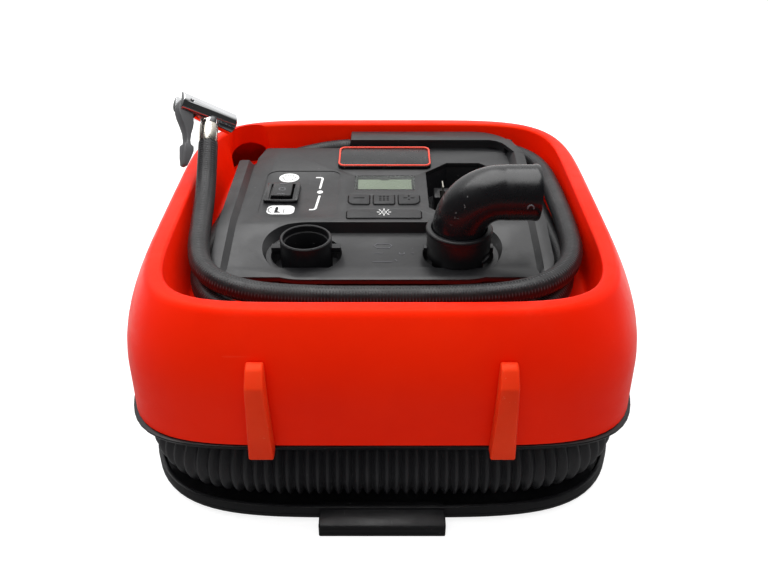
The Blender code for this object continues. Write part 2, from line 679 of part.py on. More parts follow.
def build_pan(body):
    edge = GROOVE_FLOOR + FLANGE_LIP
    round_off = FLANGE_DEPTH / 3.0
    rings = [
        square_ring(FLANGE_HALF_X - round_off, FLANGE_HALF_Y - round_off, FLANGE_POWER, PAN_BOTTOM),
        square_ring(FLANGE_HALF_X, FLANGE_HALF_Y, FLANGE_POWER, PAN_BOTTOM + round_off),
        square_ring(FLANGE_HALF_X, FLANGE_HALF_Y, FLANGE_POWER, edge),
        square_ring(FLANGE_HALF_X - LIP_WIDTH, FLANGE_HALF_Y - LIP_WIDTH, FLANGE_POWER, edge),
        square_ring(FLANGE_HALF_X - LIP_WIDTH, FLANGE_HALF_Y - LIP_WIDTH, FLANGE_POWER,
                    GROOVE_FLOOR),
        square_ring(CORE_HALF_X, CORE_HALF_Y, CORE_POWER, GROOVE_FLOOR),
        square_ring(CORE_HALF_X, CORE_HALF_Y, CORE_POWER, PAN_TOP),
        square_ring(CORE_HALF_X - CORE_WALL, CORE_HALF_Y - CORE_WALL, CORE_POWER, PAN_TOP),
        square_ring(CORE_HALF_X - CORE_WALL, CORE_HALF_Y - CORE_WALL, CORE_POWER, INNER_FLOOR),
    ]
    pan = add_piece("base_pan", loft(rings), "black", body, smooth=30)
    middle = -STAND_REACH + STAND_BLOCK_DEPTH / 2.0
    stand = block(STAND_BLOCK_WIDTH, STAND_BLOCK_DEPTH, 0.0, STAND_BLOCK_HEIGHT, 0.0, middle)
    join(pan, add_piece("stand_block", stand, None, body))
    return pan


def build_mid_frame(body):
    low, high = FRAME_BOTTOM, FRAME_BOTTOM + FRAME_THICK
    outer_low = square_ring(FRAME_HALF_X - WALL / 2, FRAME_HALF_Y - WALL / 2, SHELL_POWER, low)
    outer_high = square_ring(FRAME_HALF_X, FRAME_HALF_Y, SHELL_POWER, high)
    frame = add_piece("mid_frame", loft([outer_low, outer_high]), "black", body, smooth=30)
    inside = [square_ring(CORE_HALF_X - CORE_WALL, CORE_HALF_Y - CORE_WALL, CORE_POWER, z)
              for z in (low - WALL, high + WALL)]
    cut(frame, add_piece("frame_opening", loft(inside), None, body))


def build_stand_feet(body):
    """Two wedge fins on the shell's front, cut to its curve."""
    plug = add_piece("shell_plug", loft([outer_ring(share, -GAP)
                                         for share in (-0.2, 0.0, 0.2, 0.4, 0.55, 0.68, 0.8, 1.0)]),
                     None, body)
    low = SHELL_BOTTOM - STAND_FOOT_DROP
    high = low + STAND_FOOT_HEIGHT
    back = -SHELL_HALF_Y + WALL
    nose = STAND_REACH - SHELL_HALF_Y
    for side, x in (("left", -STAND_FOOT_X), ("right", STAND_FOOT_X)):
        outline = [(back, low), (-STAND_REACH, low), (-STAND_REACH, high - nose)]
        outline += [(-SHELL_HALF_Y - nose / 3, high - nose / 8), (-SHELL_HALF_Y, high),
                    (back, high)]
        fin = side_prism(outline, -STAND_FOOT_WIDTH / 2, STAND_FOOT_WIDTH / 2)
        for vert in fin.verts:
            rise = (vert.co.z - low) / STAND_FOOT_HEIGHT
            taper = 1.0 + (STAND_FOOT_TOP_WIDTH / STAND_FOOT_WIDTH - 1.0) * rise
            vert.co.x *= taper
        foot = add_piece("stand_foot_" + side, fin, "red_clear", body, at=(x, 0.0, 0.0))
        cut(foot, plug)


def build_feet_and_screws(body):
    corners = ((-1, -1), (1, -1), (1, 1), (-1, 1))
    for number, (sx, sy) in enumerate(corners, 1):
        pad = rod(FOOT_RADIUS, 0.0, FOOT_HEIGHT, 16)
        add_piece(f"rubber_foot_{number}", pad, "rubber", body, (sx * FOOT_X, sy * FOOT_Y, 0.0), 30)
        head = lathe([(0.0, SCREW_LENGTH), (SCREW_RADIUS / 2, SCREW_LENGTH),
                      (SCREW_RADIUS / 2, 0.0), (SCREW_RADIUS, 0.0),
                      (SCREW_RADIUS, -SCREW_RADIUS / 2), (0.0, -SCREW_RADIUS / 2)], 12)
        add_piece(f"case_screw_{number}", moved(head, z=INNER_FLOOR + SCREW_RADIUS / 2 + GAP),
                  "steel", body, (sx * SCREW_X, sy * SCREW_Y, 0.0), 30)


# ---------------------------------------------------------------- control panel

def panel_outline():
    right = PANEL_HALF_X
    points = arc(right - PANEL_CORNER, PANEL_FRONT + PANEL_CORNER, PANEL_CORNER, -90, 0, 5)
    points += arc(right - PANEL_REAR_CORNER, PANEL_BACK - PANEL_REAR_CORNER, PANEL_REAR_CORNER,
                  0, 90, 6)
    points += [(PANEL_NOTCH_X, PANEL_BACK), (PANEL_NOTCH_X, PANEL_NOTCH_Y)]
    points += [(-right, PANEL_NOTCH_Y)]
    points += arc(-right + PANEL_CORNER, PANEL_FRONT + PANEL_CORNER, PANEL_CORNER, 180, 270, 5)
    return points


def deck_height(y):
    """Top of the panel at a depth: the lower deck, the ramp or the deck."""
    share = (y - RAMP_FRONT) / (RAMP_BACK - RAMP_FRONT)
    return LOWER_DECK + TROUGH_DEPTH * min(max(share, 0.0), 1.0)


def add_flange_bar(panel, body, side):
    """A raised margin along one side of the deck, sloping down to it."""
    inner = side * (PANEL_HALF_X - FLANGE_BAR_WIDTH)
    outer = side * PANEL_HALF_X
    crest = inner + side * FLANGE_BAR_SLOPE
    rings = []
    back = PANEL_NOTCH_Y if side < 0 else FLANGE_BAR_BACK
    for y in (PANEL_FRONT + PANEL_CORNER, RAMP_BACK, back):
        low, high = deck_height(y) - PLATE / 2, deck_height(y) + FLANGE_BAR_RISE
        rings.append([(inner, y, low), (outer, y, low), (outer, y, high), (crest, y, high)])
    name = "flange_bar_right" if side > 0 else "flange_bar_left"
    join(panel, add_piece(name, loft(rings), None, body))


def add_bridge(panel, body):
    """The raised rear strip that the hose passes under."""
    top = DECK + BRIDGE_RISE
    outline = [(BRIDGE_LEFT, BRIDGE_FRONT), (BRIDGE_RIGHT, BRIDGE_FRONT)]
    outline += arc(BRIDGE_RIGHT - BRIDGE_CORNER, BRIDGE_BACK - BRIDGE_CORNER, BRIDGE_CORNER,
                   20, 90, 4)
    outline += [(BRIDGE_LEFT, BRIDGE_BACK)]
    plate = prism(outline, top - BRIDGE_THICK, top)
    riser = block(BRIDGE_RIGHT - BRIDGE_LEFT - PANEL_REAR_CORNER, BRIDGE_THICK, DECK_UNDER + GAP,
                  top - GAP, (BRIDGE_LEFT + BRIDGE_RIGHT - PANEL_REAR_CORNER) / 2,
                  BRIDGE_FRONT + BRIDGE_THICK / 2 + GAP)
    riser_piece = add_piece("bridge_riser", riser, None, body)
    join(panel, riser_piece, add_piece("bridge_plate", plate, None, body))


def key_places():
    places = [("key_minus", KEY_MIDDLE - KEY_PITCH, KEY_Y, KEY_SIZE),
              ("key_unit", KEY_MIDDLE, KEY_Y, KEY_SIZE),
              ("key_plus", KEY_MIDDLE + KEY_PITCH, KEY_Y, KEY_SIZE),
              ("key_light", KEY_MIDDLE, LIGHT_KEY_Y, LIGHT_KEY_SIZE)]
    return places


def build_panel(body):
    far = 2.0 * PANEL_HALF_X
    low, high = LOWER_DECK - PLATE, DECK
    panel = add_piece("control_panel", prism(panel_outline(), low, high), "grey", body, smooth=30)
    under = side_prism([(-far, low - PLATE), (far, low - PLATE), (far, DECK_UNDER),
                        (RAMP_BACK, DECK_UNDER), (RAMP_FRONT, low), (-far, low)], -far, far)
    cut(panel, add_piece("under_deck", under, None, body))
    tub = block(2 * TROUGH_HALF_X + 2 * PLATE, TROUGH_BACK - TROUGH_FRONT + 2 * PLATE,
                low, DECK - PLATE / 2, 0.0, (TROUGH_BACK + TROUGH_FRONT) / 2)
    foot = prism(pedestal_outline(0.0), TRAY_FLOOR + GAP, DECK_UNDER + PLATE / 2)
    foot_piece = add_piece("pedestal", foot, None, body)
    rear_hollow = prism(pedestal_outline(PEDESTAL_WALL), TRAY_FLOOR - PLATE, DECK_UNDER)
    cut(foot_piece, add_piece("pedestal_hollow", rear_hollow, None, body))
    join(panel, foot_piece, add_piece("trough_tub", tub, None, body))
    sky = side_prism([(-far, LOWER_DECK), (RAMP_FRONT, LOWER_DECK), (RAMP_BACK, DECK),
                      (far, DECK), (far, far), (-far, far)], -far, far)
    trough = prism(rounded_rectangle(2 * TROUGH_HALF_X, TROUGH_BACK - TROUGH_FRONT, WELL_RADIUS / 2,
                                     0.0, (TROUGH_BACK + TROUGH_FRONT) / 2), LOWER_DECK, far)
    cut(panel, add_piece("above_deck", sky, None, body),
        add_piece("trough", trough, None, body))
    dip = math.degrees(math.asin(WELL_FRONT / WELL_RADIUS))
    for side in (-1, 1):
        well = prism(arc(side * PORT_X, PORT_Y, WELL_RADIUS, -dip, 180 + dip, 20), low - PLATE,
                     DECK + PLATE)
        cut(panel, add_piece("well_left" if side < 0 else "well_right", well, None, body))
        add_flange_bar(panel, body, side)
    window_x, window_y = WINDOW_AT
    holes = [("dock_hole", prism(dock_outline(0.0), DECK_UNDER - PLATE, DECK + PLATE)),
             ("window_hole", block(*WINDOW_SIZE, DECK_UNDER - PLATE, DECK + PLATE,
                                   window_x, window_y)),
             ("window_seat", block(WINDOW_SIZE[0] + 2 * WINDOW_BORDER,
                                   WINDOW_SIZE[1] + 2 * WINDOW_BORDER,
                                   DECK - WINDOW_THICK - GAP, DECK + PLATE, window_x, window_y)),
             ("bezel_hole", block(BEZEL_SIZE[0] - BEZEL_BORDER, BEZEL_SIZE[1] - BEZEL_BORDER,
                                  DECK_UNDER - PLATE, DECK + PLATE, *BEZEL_AT))]
    for name, x, y, size in key_places():
        hole = block(size[0] + 2 * RUN_GAP, size[1] + 2 * RUN_GAP, DECK_UNDER - PLATE,
                     DECK + PLATE, x, y)
        holes.append((name + "_hole", hole))
    for name, hole in holes:
        cut(panel, add_piece(name, hole, None, body))
    add_bridge(panel, body)
    board_top = DECK_UNDER - BOARD_DROP
    ribs = (("rib_left", RIB_WIDTH, BOARD_SIZE[1] * 0.6,
             BOARD_AT[0] - (BOARD_SIZE[0] - RIB_WIDTH) / 2, BOARD_AT[1]),
            ("rib_rear", BOARD_SIZE[0] * 0.6, RIB_WIDTH, BOARD_AT[0],
             BOARD_AT[1] + (BOARD_SIZE[1] - RIB_WIDTH) / 2))
    for name, size_x, size_y, x, y in ribs:
        rib = block(size_x, size_y, board_top + GAP, DECK_UNDER + PLATE / 2, x, y)
        join(panel, add_piece(name, rib, None, body))


def build_gauge(body):
    window_x, window_y = WINDOW_AT
    seat_x, seat_y = (size + 2 * (WINDOW_BORDER - GAP) for size in WINDOW_SIZE)
    window = block(seat_x, seat_y, DECK - WINDOW_THICK, DECK, window_x, window_y)
    add_piece("gauge_window", window, "glass", body)
    lcd_x, lcd_y = (size + 2 * LCD_BORDER for size in WINDOW_SIZE)
    lcd_top = DECK_UNDER - GAP
    lcd = block(lcd_x, lcd_y, lcd_top - LCD_THICK, lcd_top, window_x, window_y)
    add_piece("lcd_panel", lcd, "display", body)
    light_top = lcd_top - LCD_THICK - GAP
    light = block(lcd_x, lcd_y, light_top - BACKLIGHT_THICK, light_top, window_x, window_y)
    add_piece("backlight_panel", light, "white", body)
    board_top = DECK_UNDER - BOARD_DROP
    board = block(*BOARD_SIZE, board_top - BOARD_THICK, board_top, *BOARD_AT)
    add_piece("control_board", board, "board", body)
    sensor_top = board_top - BOARD_THICK - GAP
    sensor = block(SENSOR_SIZE[0], SENSOR_SIZE[1], sensor_top - SENSOR_SIZE[2], sensor_top,
                   BOARD_AT[0] - BOARD_SIZE[0] / 3, BOARD_AT[1])
    add_piece("pressure_sensor", sensor, "black", body)


def build_keys(body):
    for name, x, y, size in key_places():
        corner = min(size) / 6.0
        cap = prism(rounded_rectangle(*size, corner, steps=3), -KEY_DEPTH, KEY_PROUD)
        add_piece(name, cap, "grey", body, (x, y, DECK), 30)


def build_rocker(body):
    bezel_x, bezel_y = BEZEL_AT
    inner_x = BEZEL_SIZE[0] - 2 * BEZEL_BORDER
    inner_y = BEZEL_SIZE[1] - 2 * BEZEL_BORDER
    top = DECK + GAP
    frame = block(*BEZEL_SIZE, top, top + BEZEL_PROUD)
    sleeve = block(BEZEL_SIZE[0] - BEZEL_BORDER - 2 * GAP, BEZEL_SIZE[1] - BEZEL_BORDER - 2 * GAP,
                   DECK - BEZEL_DEPTH, top + BEZEL_PROUD / 2)
    hollow = block(inner_x, inner_y, DECK - BEZEL_DEPTH + PLATE / 2, top + 2 * BEZEL_PROUD)
    bezel = add_piece("rocker_bezel", frame, "black", body, (bezel_x, bezel_y, 0.0))
    join(bezel, add_piece("bezel_sleeve", sleeve, None, body, (bezel_x, bezel_y, 0.0)))
    cut(bezel, add_piece("bezel_hollow", hollow, None, body, (bezel_x, bezel_y, 0.0)))
    reach = inner_y / 2 - RUN_GAP
    side = math.degrees(math.asin(ROCKER_TIP / reach))
    outline = [(y, z) for y, z in arc(0.0, 0.0, reach, 180 - side, 360 + side, 14)]
    outline.append((0.0, ROCKER_TIP - ROCKER_DIP))
    rocker = side_prism(outline, -inner_x / 2 + RUN_GAP, inner_x / 2 - RUN_GAP)
    add_piece("mode_rocker", rocker, "black", body, (bezel_x, bezel_y, DECK + ROCKER_RISE), 40)


def build_badge(body):
    plate = prism(rounded_rectangle(*BADGE_SIZE, BADGE_CORNER), DECK + GAP, DECK + GAP + BADGE_THICK)
    add_piece("badge_plate", plate, "grey", body, (*BADGE_AT, 0.0), 30)


def build_dock(body):
    top = DECK_UNDER - GAP
    low = top - DOCK_DEPTH
    cup = add_piece("battery_dock", prism(dock_outline(DOCK_WALL), low, top), "black", body)
    hollow = prism(dock_outline(0.0), low + DOCK_WALL, top + PLATE)
    cut(cup, add_piece("dock_hollow", hollow, None, body))
    size_x, size_y, height = TERMINAL_SIZE
    at_x, at_y = TERMINAL_AT
    seat = low + DOCK_WALL + GAP
    terminal = add_piece("terminal_block", block(size_x, size_y, seat, seat + height, at_x, at_y),
                         "black", body)
    for number, side in enumerate((-0.5, 0.5), 1):
        x = at_x + side * BLADE_PITCH
        slot = block(BLADE_SIZE[0] + 2 * SLOT_GAP, size_y, seat + height / 2, seat + 2 * height,
                     x, at_y - DOCK_WALL)
        cut(terminal, add_piece(f"blade_slot_{number}", slot, None, body))
        blade_low = seat + height / 2 + GAP
        blade = block(BLADE_SIZE[0], BLADE_SIZE[1], blade_low, blade_low + BLADE_SIZE[2], x,
                      at_y - DOCK_WALL)
        add_piece(f"terminal_blade_{number}", blade, "nickel", body)


# ---------------------------------------------------------------- ports, nozzle and blower

def build_port(name, body, side):
    seat = BLOWER_TOP + GAP
    profile = [(PORT_RADIUS, PORT_TOP), (PORT_RADIUS, seat + PORT_SEAT_THICK),
               (PORT_SEAT_RADIUS, seat + PORT_SEAT_THICK), (PORT_SEAT_RADIUS, seat),
               (PORT_BORE, seat), (PORT_BORE, PORT_TOP)]
    port = add_piece(name, lathe(profile, 28), "black", body, (side * PORT_X, PORT_Y, 0.0), 30)
    lug_low = LOWER_DECK + LUG_RISE
    middle = (PORT_BORE + PORT_RADIUS) / 2
    for lug_side in (-1, 1):
        lug = block(LUG_REACH - middle, LUG_WIDTH, lug_low, lug_low + LUG_HEIGHT,
                    lug_side * (LUG_REACH + middle) / 2)
        join(port, add_piece(f"{name}_lug_{lug_side}", lug, None, body,
                             (side * PORT_X, PORT_Y, 0.0)))


def build_nozzle(body):
    """Seal, bayonet collar and elbow; their origins lie on the port's axis."""
    axis = add_empty("nozzle_axis", (PORT_X, PORT_Y, 0.0), body)
    seal_low = PORT_TOP + GAP
    seal = lathe(tube_profile(PORT_BORE + GAP, PORT_RADIUS - GAP, seal_low, seal_low + SEAL_THICK),
                 28)
    add_piece("nozzle_seal", seal, "rubber", axis, smooth=30)
    collar_bore = max(PORT_RADIUS, ELBOW_RADIUS) + RUN_GAP
    foot = LOWER_DECK + GAP
    collar_mesh = lathe(tube_profile(collar_bore, collar_bore + COLLAR_WALL, foot,
                                     PORT_TOP + COLLAR_RISE), 28)
    collar = add_piece("nozzle_collar", collar_mesh, "black", axis, smooth=30)
    outer = collar_bore + 2 * COLLAR_WALL
    slot_low = LOWER_DECK + LUG_RISE - RUN_GAP
    slot_high = slot_low + LUG_HEIGHT + 2 * RUN_GAP
    entry = block(2 * outer, LUG_WIDTH + 4 * RUN_GAP, foot - GAP, slot_high)
    cut(collar, add_piece("entry_slots", entry, None, axis))
    half = math.degrees((LUG_WIDTH + 4 * RUN_GAP) / 2 / PORT_RADIUS)
    profile = tube_profile(collar_bore - RUN_GAP, outer, slot_low, slot_high)
    for number, start in enumerate((180.0, 0.0), 1):
        sector = lathe(profile, 8, TWIST_LOCK + half)
        turn = Matrix.Rotation(math.radians(start - TWIST_LOCK - half), 4, "Z")
        bmesh.ops.transform(sector, matrix=turn, verts=sector.verts)
        cut(collar, add_piece(f"lock_slot_{number}", sector, None, axis))
    low = seal_low + SEAL_THICK + GAP
    mouth_z = PORT_TOP + ELBOW_HEIGHT
    bm = bmesh.new()
    bmesh.ops.create_circle(bm, cap_ends=False, segments=24, radius=ELBOW_RADIUS)
    moved(bm, z=low)
    ring = list(bm.edges)
    ring = push_ring(bm, ring, (0.0, 0.0, mouth_z - ELBOW_BEND - low))
    made = bmesh.ops.spin(bm, geom=[*{v for e in ring for v in e.verts}, *ring],
                          cent=(ELBOW_BEND, 0.0, mouth_z - ELBOW_BEND), axis=(0, 1, 0),
                          dvec=(0, 0, 0), angle=math.pi / 2, steps=8, use_duplicate=False)
    ring = [item for item in made["geom_last"] if isinstance(item, bmesh.types.BMEdge)]
    push_ring(bm, ring, (ELBOW_REACH - ELBOW_BEND, 0.0, 0.0))
    elbow = add_piece("nozzle_elbow", bm, "black", axis, smooth=40)
    wall = elbow.modifiers.new("wall", "SOLIDIFY")
    wall.thickness = ELBOW_WALL
    wall.offset = -1.0


def push_ring(bm, ring, vector):
    made = bmesh.ops.extrude_edge_only(bm, edges=ring)["geom"]
    verts = [item for item in made if isinstance(item, bmesh.types.BMVert)]
    bmesh.ops.translate(bm, verts=verts, vec=vector)
    return [item for item in made if isinstance(item, bmesh.types.BMEdge)]


def build_blower(body):
    low = BLOWER_TOP - BLOWER_HEIGHT
    wide, deep = 2 * BLOWER_HALF_X, 2 * BLOWER_HALF_Y
    axis = add_empty("blower_axis", (0.0, PORT_Y, 0.0), body)
    housing = add_piece("blower_housing",
                        prism(rounded_rectangle(wide, deep, deep / 3), low, BLOWER_TOP),
                        "black", axis, smooth=30)
    inside = prism(rounded_rectangle(wide - 2 * BLOWER_WALL, deep - 2 * BLOWER_WALL,
                                     deep / 3 - BLOWER_WALL), low - WALL, BLOWER_TOP - BLOWER_WALL)
    cut(housing, add_piece("blower_hollow", inside, None, axis))
    for side, name in ((-1, "blower_inlet"), (1, "blower_outlet")):
        hole = moved(rod(PORT_BORE, low, BLOWER_TOP + WALL), side * PORT_X)
        cut(housing, add_piece(name, hole, None, axis))
    cover_top = low - GAP
    cover = add_piece("blower_cover", prism(rounded_rectangle(wide, deep, deep / 3),
                                            cover_top - COVER_THICK, cover_top),
                      "black", axis, smooth=30)
    hole = rod(BLOWER_SHAFT + RUN_GAP, cover_top - 2 * COVER_THICK, cover_top + COVER_THICK, 16)
    cut(cover, add_piece("cover_hole", hole, None, axis))
    disc_low = cover_top + IMPELLER_LIFT
    star = []
    for blade in range(BLADE_COUNT):
        angle = 360.0 * blade / BLADE_COUNT
        star += arc(0.0, 0.0, HUB_RADIUS, angle - 14, angle - 14, 1)[:1]
        star += arc(0.0, 0.0, IMPELLER_RADIUS, angle - 3, angle + 1, 1)
        star += arc(0.0, 0.0, HUB_RADIUS, angle + 14, angle + 14, 1)[:1]
    impeller = add_piece("blower_impeller",
                         rod(IMPELLER_RADIUS, disc_low, disc_low + IMPELLER_DISC, 32),
                         "grey", axis, smooth=30)
    blades = prism(star, disc_low + IMPELLER_DISC / 2, disc_low + IMPELLER_HEIGHT)
    join(impeller, add_piece("impeller_blades", blades, None, axis))
    bore = rod(BLOWER_SHAFT + GAP, disc_low - WALL, disc_low + 2 * IMPELLER_HEIGHT, 16)
    cut(impeller, add_piece("impeller_bore", bore, None, axis))
    motor_top = cover_top - COVER_THICK - GAP
    shaft_top = disc_low + IMPELLER_HEIGHT
    motor = lathe([(0.0, shaft_top), (BLOWER_SHAFT, shaft_top), (BLOWER_SHAFT, motor_top),
                   (BLOWER_MOTOR_RADIUS, motor_top), (BLOWER_MOTOR_RADIUS, INNER_FLOOR + GAP),
                   (0.0, INNER_FLOOR + GAP)], 24)
    add_piece("blower_motor", motor, "steel", axis, smooth=30)


# ---------------------------------------------------------------- pump

def gear_outline(teeth):
    """Straight-sided teeth, a little slimmer than their gaps."""
    pitch = GEAR_MODULE * teeth / 2.0
    root, tip = pitch - 1.2 * GEAR_MODULE, pitch + 0.85 * GEAR_MODULE
    step = 360.0 / teeth
    points = []
    for tooth in range(teeth):
        middle = step * tooth
        for radius, share in ((root, -0.34), (tip, -0.14), (tip, 0.14), (root, 0.34)):
            points += arc(0.0, 0.0, radius, middle + share * step, middle + share * step, 1)[:1]
    return points


def build_pump(body):
    """Motor, gears, crank and piston. The crank stands at the end of the suction stroke."""
    rod_half = ROD_WIDTH / 2.0
    gear_front = PUMP_Y + rod_half + CRANK_CLEAR + 2 * CRANK_PIN_RADIUS
    gear_back = gear_front + GEAR_WIDTH
    plate_front = gear_back + 2 * GAP
    plate_back = plate_front + FRAME_PLATE
    spacing = GEAR_MODULE * (GEAR_TEETH + PINION_TEETH) / 2.0
    motor_x = GEAR_X + spacing
    side_x = GEAR_X + CRANK_RADIUS - ROD_LENGTH - CYLINDER_WALL
    gear_axis = add_empty("gear_axis", (GEAR_X, 0.0, PUMP_Z), body)
    motor_axis = add_empty("motor_axis", (motor_x, 0.0, PUMP_Z), body)
    gear = add_piece("crank_gear", moved(lay(prism(gear_outline(GEAR_TEETH), 0.0, GEAR_WIDTH), "Y"),
                                         y=gear_front), "white", gear_axis, smooth=20)
    shaft = lay(rod(GEAR_SHAFT_RADIUS, gear_front + GEAR_WIDTH / 2, plate_back, 16), "Y")
    pin = moved(lay(rod(CRANK_PIN_RADIUS, PUMP_Y + rod_half + CRANK_CLEAR,
                        gear_front + GEAR_WIDTH / 2, 12), "Y"), x=CRANK_RADIUS)
    join(gear, add_piece("gear_shaft", shaft, None, gear_axis),
         add_piece("crank_pin", pin, None, gear_axis))
    pinion_mesh = prism(gear_outline(PINION_TEETH), 0.0, GEAR_WIDTH)
    half_tooth = Matrix.Rotation(math.pi / PINION_TEETH, 4, "Z")
    bmesh.ops.transform(pinion_mesh, matrix=half_tooth, verts=pinion_mesh.verts)
    pinion = add_piece("motor_pinion", moved(lay(pinion_mesh, "Y"), y=gear_front), "brass",
                       motor_axis, smooth=20)
    bore = lay(rod(MOTOR_SHAFT_RADIUS + GAP, gear_front - GEAR_WIDTH, gear_back + GEAR_WIDTH, 12),
               "Y")
    cut(pinion, add_piece("pinion_bore", bore, None, motor_axis))
    motor = lathe([(0.0, 0.0), (MOTOR_RADIUS, 0.0), (MOTOR_RADIUS, MOTOR_LENGTH),
                   (0.0, MOTOR_LENGTH)], 24)
    motor_piece = add_piece("pump_motor", moved(lay(motor, "Y"), y=plate_back + GAP), "steel",
                            motor_axis, smooth=30)
    motor_shaft = lay(rod(MOTOR_SHAFT_RADIUS, gear_front, plate_back + MOTOR_LENGTH / 2, 12), "Y")
    join(motor_piece, add_piece("motor_shaft", motor_shaft, None, motor_axis))

    frame_right = motor_x + MOTOR_RADIUS
    frame_high = PUMP_Z + GEAR_MODULE * GEAR_TEETH / 2.0
    frame = add_piece("pump_frame",
                      block(frame_right - side_x, FRAME_PLATE, INNER_FLOOR + GAP, frame_high,
                            (frame_right + side_x) / 2, (plate_front + plate_back) / 2),
                      "alloy", body)
    cheek = block(FRAME_PLATE, plate_back - PUMP_Y + CYLINDER_BORE + CYLINDER_WALL,
                  INNER_FLOOR + GAP, frame_high, side_x + FRAME_PLATE / 2,
                  (plate_back + PUMP_Y - CYLINDER_BORE - CYLINDER_WALL) / 2)
    join(frame, add_piece("frame_cheek", cheek, None, body))
    rod_hole = moved(lay(rod(CYLINDER_BORE, -FRAME_PLATE, 2 * FRAME_PLATE, 20), "X"), x=side_x,
                     y=PUMP_Y, z=PUMP_Z)
    shaft_hole = moved(lay(rod(GEAR_SHAFT_RADIUS + GAP, 0.0, plate_back + FRAME_PLATE, 16), "Y"),
                       x=GEAR_X, z=PUMP_Z)
    motor_hole = moved(lay(rod(MOTOR_SHAFT_RADIUS + RUN_GAP, 0.0, plate_back + FRAME_PLATE, 12),
                           "Y"), x=motor_x, z=PUMP_Z)
    cut(frame, add_piece("rod_hole", rod_hole, None, body),
        add_piece("shaft_hole", shaft_hole, None, body),
        add_piece("motor_hole", motor_hole, None, body))

    cylinder_end = side_x - GAP
    cylinder = lathe(tube_profile(CYLINDER_BORE, CYLINDER_BORE + CYLINDER_WALL,
                                  -CYLINDER_LENGTH, 0.0), 24)
    add_piece("pump_cylinder", lay(cylinder, "X"), "alloy", body,
              (cylinder_end, PUMP_Y, PUMP_Z), 30)
    head_x = cylinder_end - CYLINDER_LENGTH - GAP
    head = rod(CYLINDER_BORE + CYLINDER_WALL + HEAD_BORDER, -HEAD_LENGTH, 0.0, 24)
    head_piece = add_piece("cylinder_head", lay(head, "X"), "alloy", body,
                           (head_x, PUMP_Y, PUMP_Z), 30)
    nipple = rod(NIPPLE_RADIUS - GAP, 0.0, CYLINDER_BORE + 2 * NIPPLE_LENGTH, 16)
    join(head_piece, add_piece("head_nipple", nipple, None, body,
                               (head_x - HEAD_LENGTH / 2, PUMP_Y, PUMP_Z)))

    eye_x = GEAR_X + CRANK_RADIUS
    piston_x = eye_x - ROD_LENGTH
    slide = add_empty("piston_axis", (piston_x, PUMP_Y, PUMP_Z), body)
    piston = add_piece("pump_piston",
                       lay(rod(CYLINDER_BORE - RUN_GAP / 2, -PISTON_THICK, 0.0, 24), "X"),
                       "alloy", slide, smooth=30)
    shank_reach = ROD_LENGTH - ROD_EYE_RADIUS / 2 + PISTON_THICK / 2
    shank = block(shank_reach, ROD_WIDTH, -ROD_SHANK / 2, ROD_SHANK / 2,
                  shank_reach / 2 - PISTON_THICK / 2)
    eye = moved(lay(rod(ROD_EYE_RADIUS, -rod_half, rod_half, 16), "Y"), x=ROD_LENGTH)
    eye_hole = moved(lay(rod(CRANK_PIN_RADIUS + RUN_GAP, -ROD_WIDTH, ROD_WIDTH, 12), "Y"),
                     x=ROD_LENGTH)
    join(piston, add_piece("rod_shank", shank, None, slide), add_piece("rod_eye", eye, None, slide))
    cut(piston, add_piece("eye_hole", eye_hole, None, slide))

    start = Vector((head_x - HEAD_LENGTH / 2, PUMP_Y,
                    PUMP_Z + CYLINDER_BORE + 2 * NIPPLE_LENGTH + GAP))
    build_air_pipe(body, start)


def build_air_pipe(body, start):
    """From the cylinder head up and across to the gland's stem, straight at both ends."""
    end = Vector((GLAND_X, GLAND_Y, TRAY_FLOOR - GLAND_STEM_LENGTH - GAP))
    bend = 4.0 * PIPE_RADIUS
    level = end.z - 1.6 * bend
    route = [start, start + Vector((0.0, 0.0, bend / 2)), start + Vector((0.0, 0.0, 1.5 * bend)),
             Vector((start.x + 0.2 * bend, start.y + 0.8 * bend, level - 0.5 * bend)),
             Vector((start.x + bend, start.y + 2.5 * bend, level)),
             Vector((start.x + 0.35 * (end.x - start.x), start.y + 0.65 * (end.y - start.y), level)),
             Vector((start.x + 0.70 * (end.x - start.x), start.y + 0.95 * (end.y - start.y), level)),
             end + Vector((-2.0 * bend, 0.0, level - end.z)),
             end + Vector((-bend, 0.0, level - end.z)),
             end + Vector((-0.29 * bend, 0.0, level - end.z + 0.29 * bend)),
             end + Vector((0.0, 0.0, level - end.z + bend)), end - Vector((0.0, 0.0, bend / 4)), end]
    add_tube("air_pipe", smooth_path(route, PIPE_STEPS), PIPE_RADIUS, "rubber", body)


# ---------------------------------------------------------------- corrugated hose

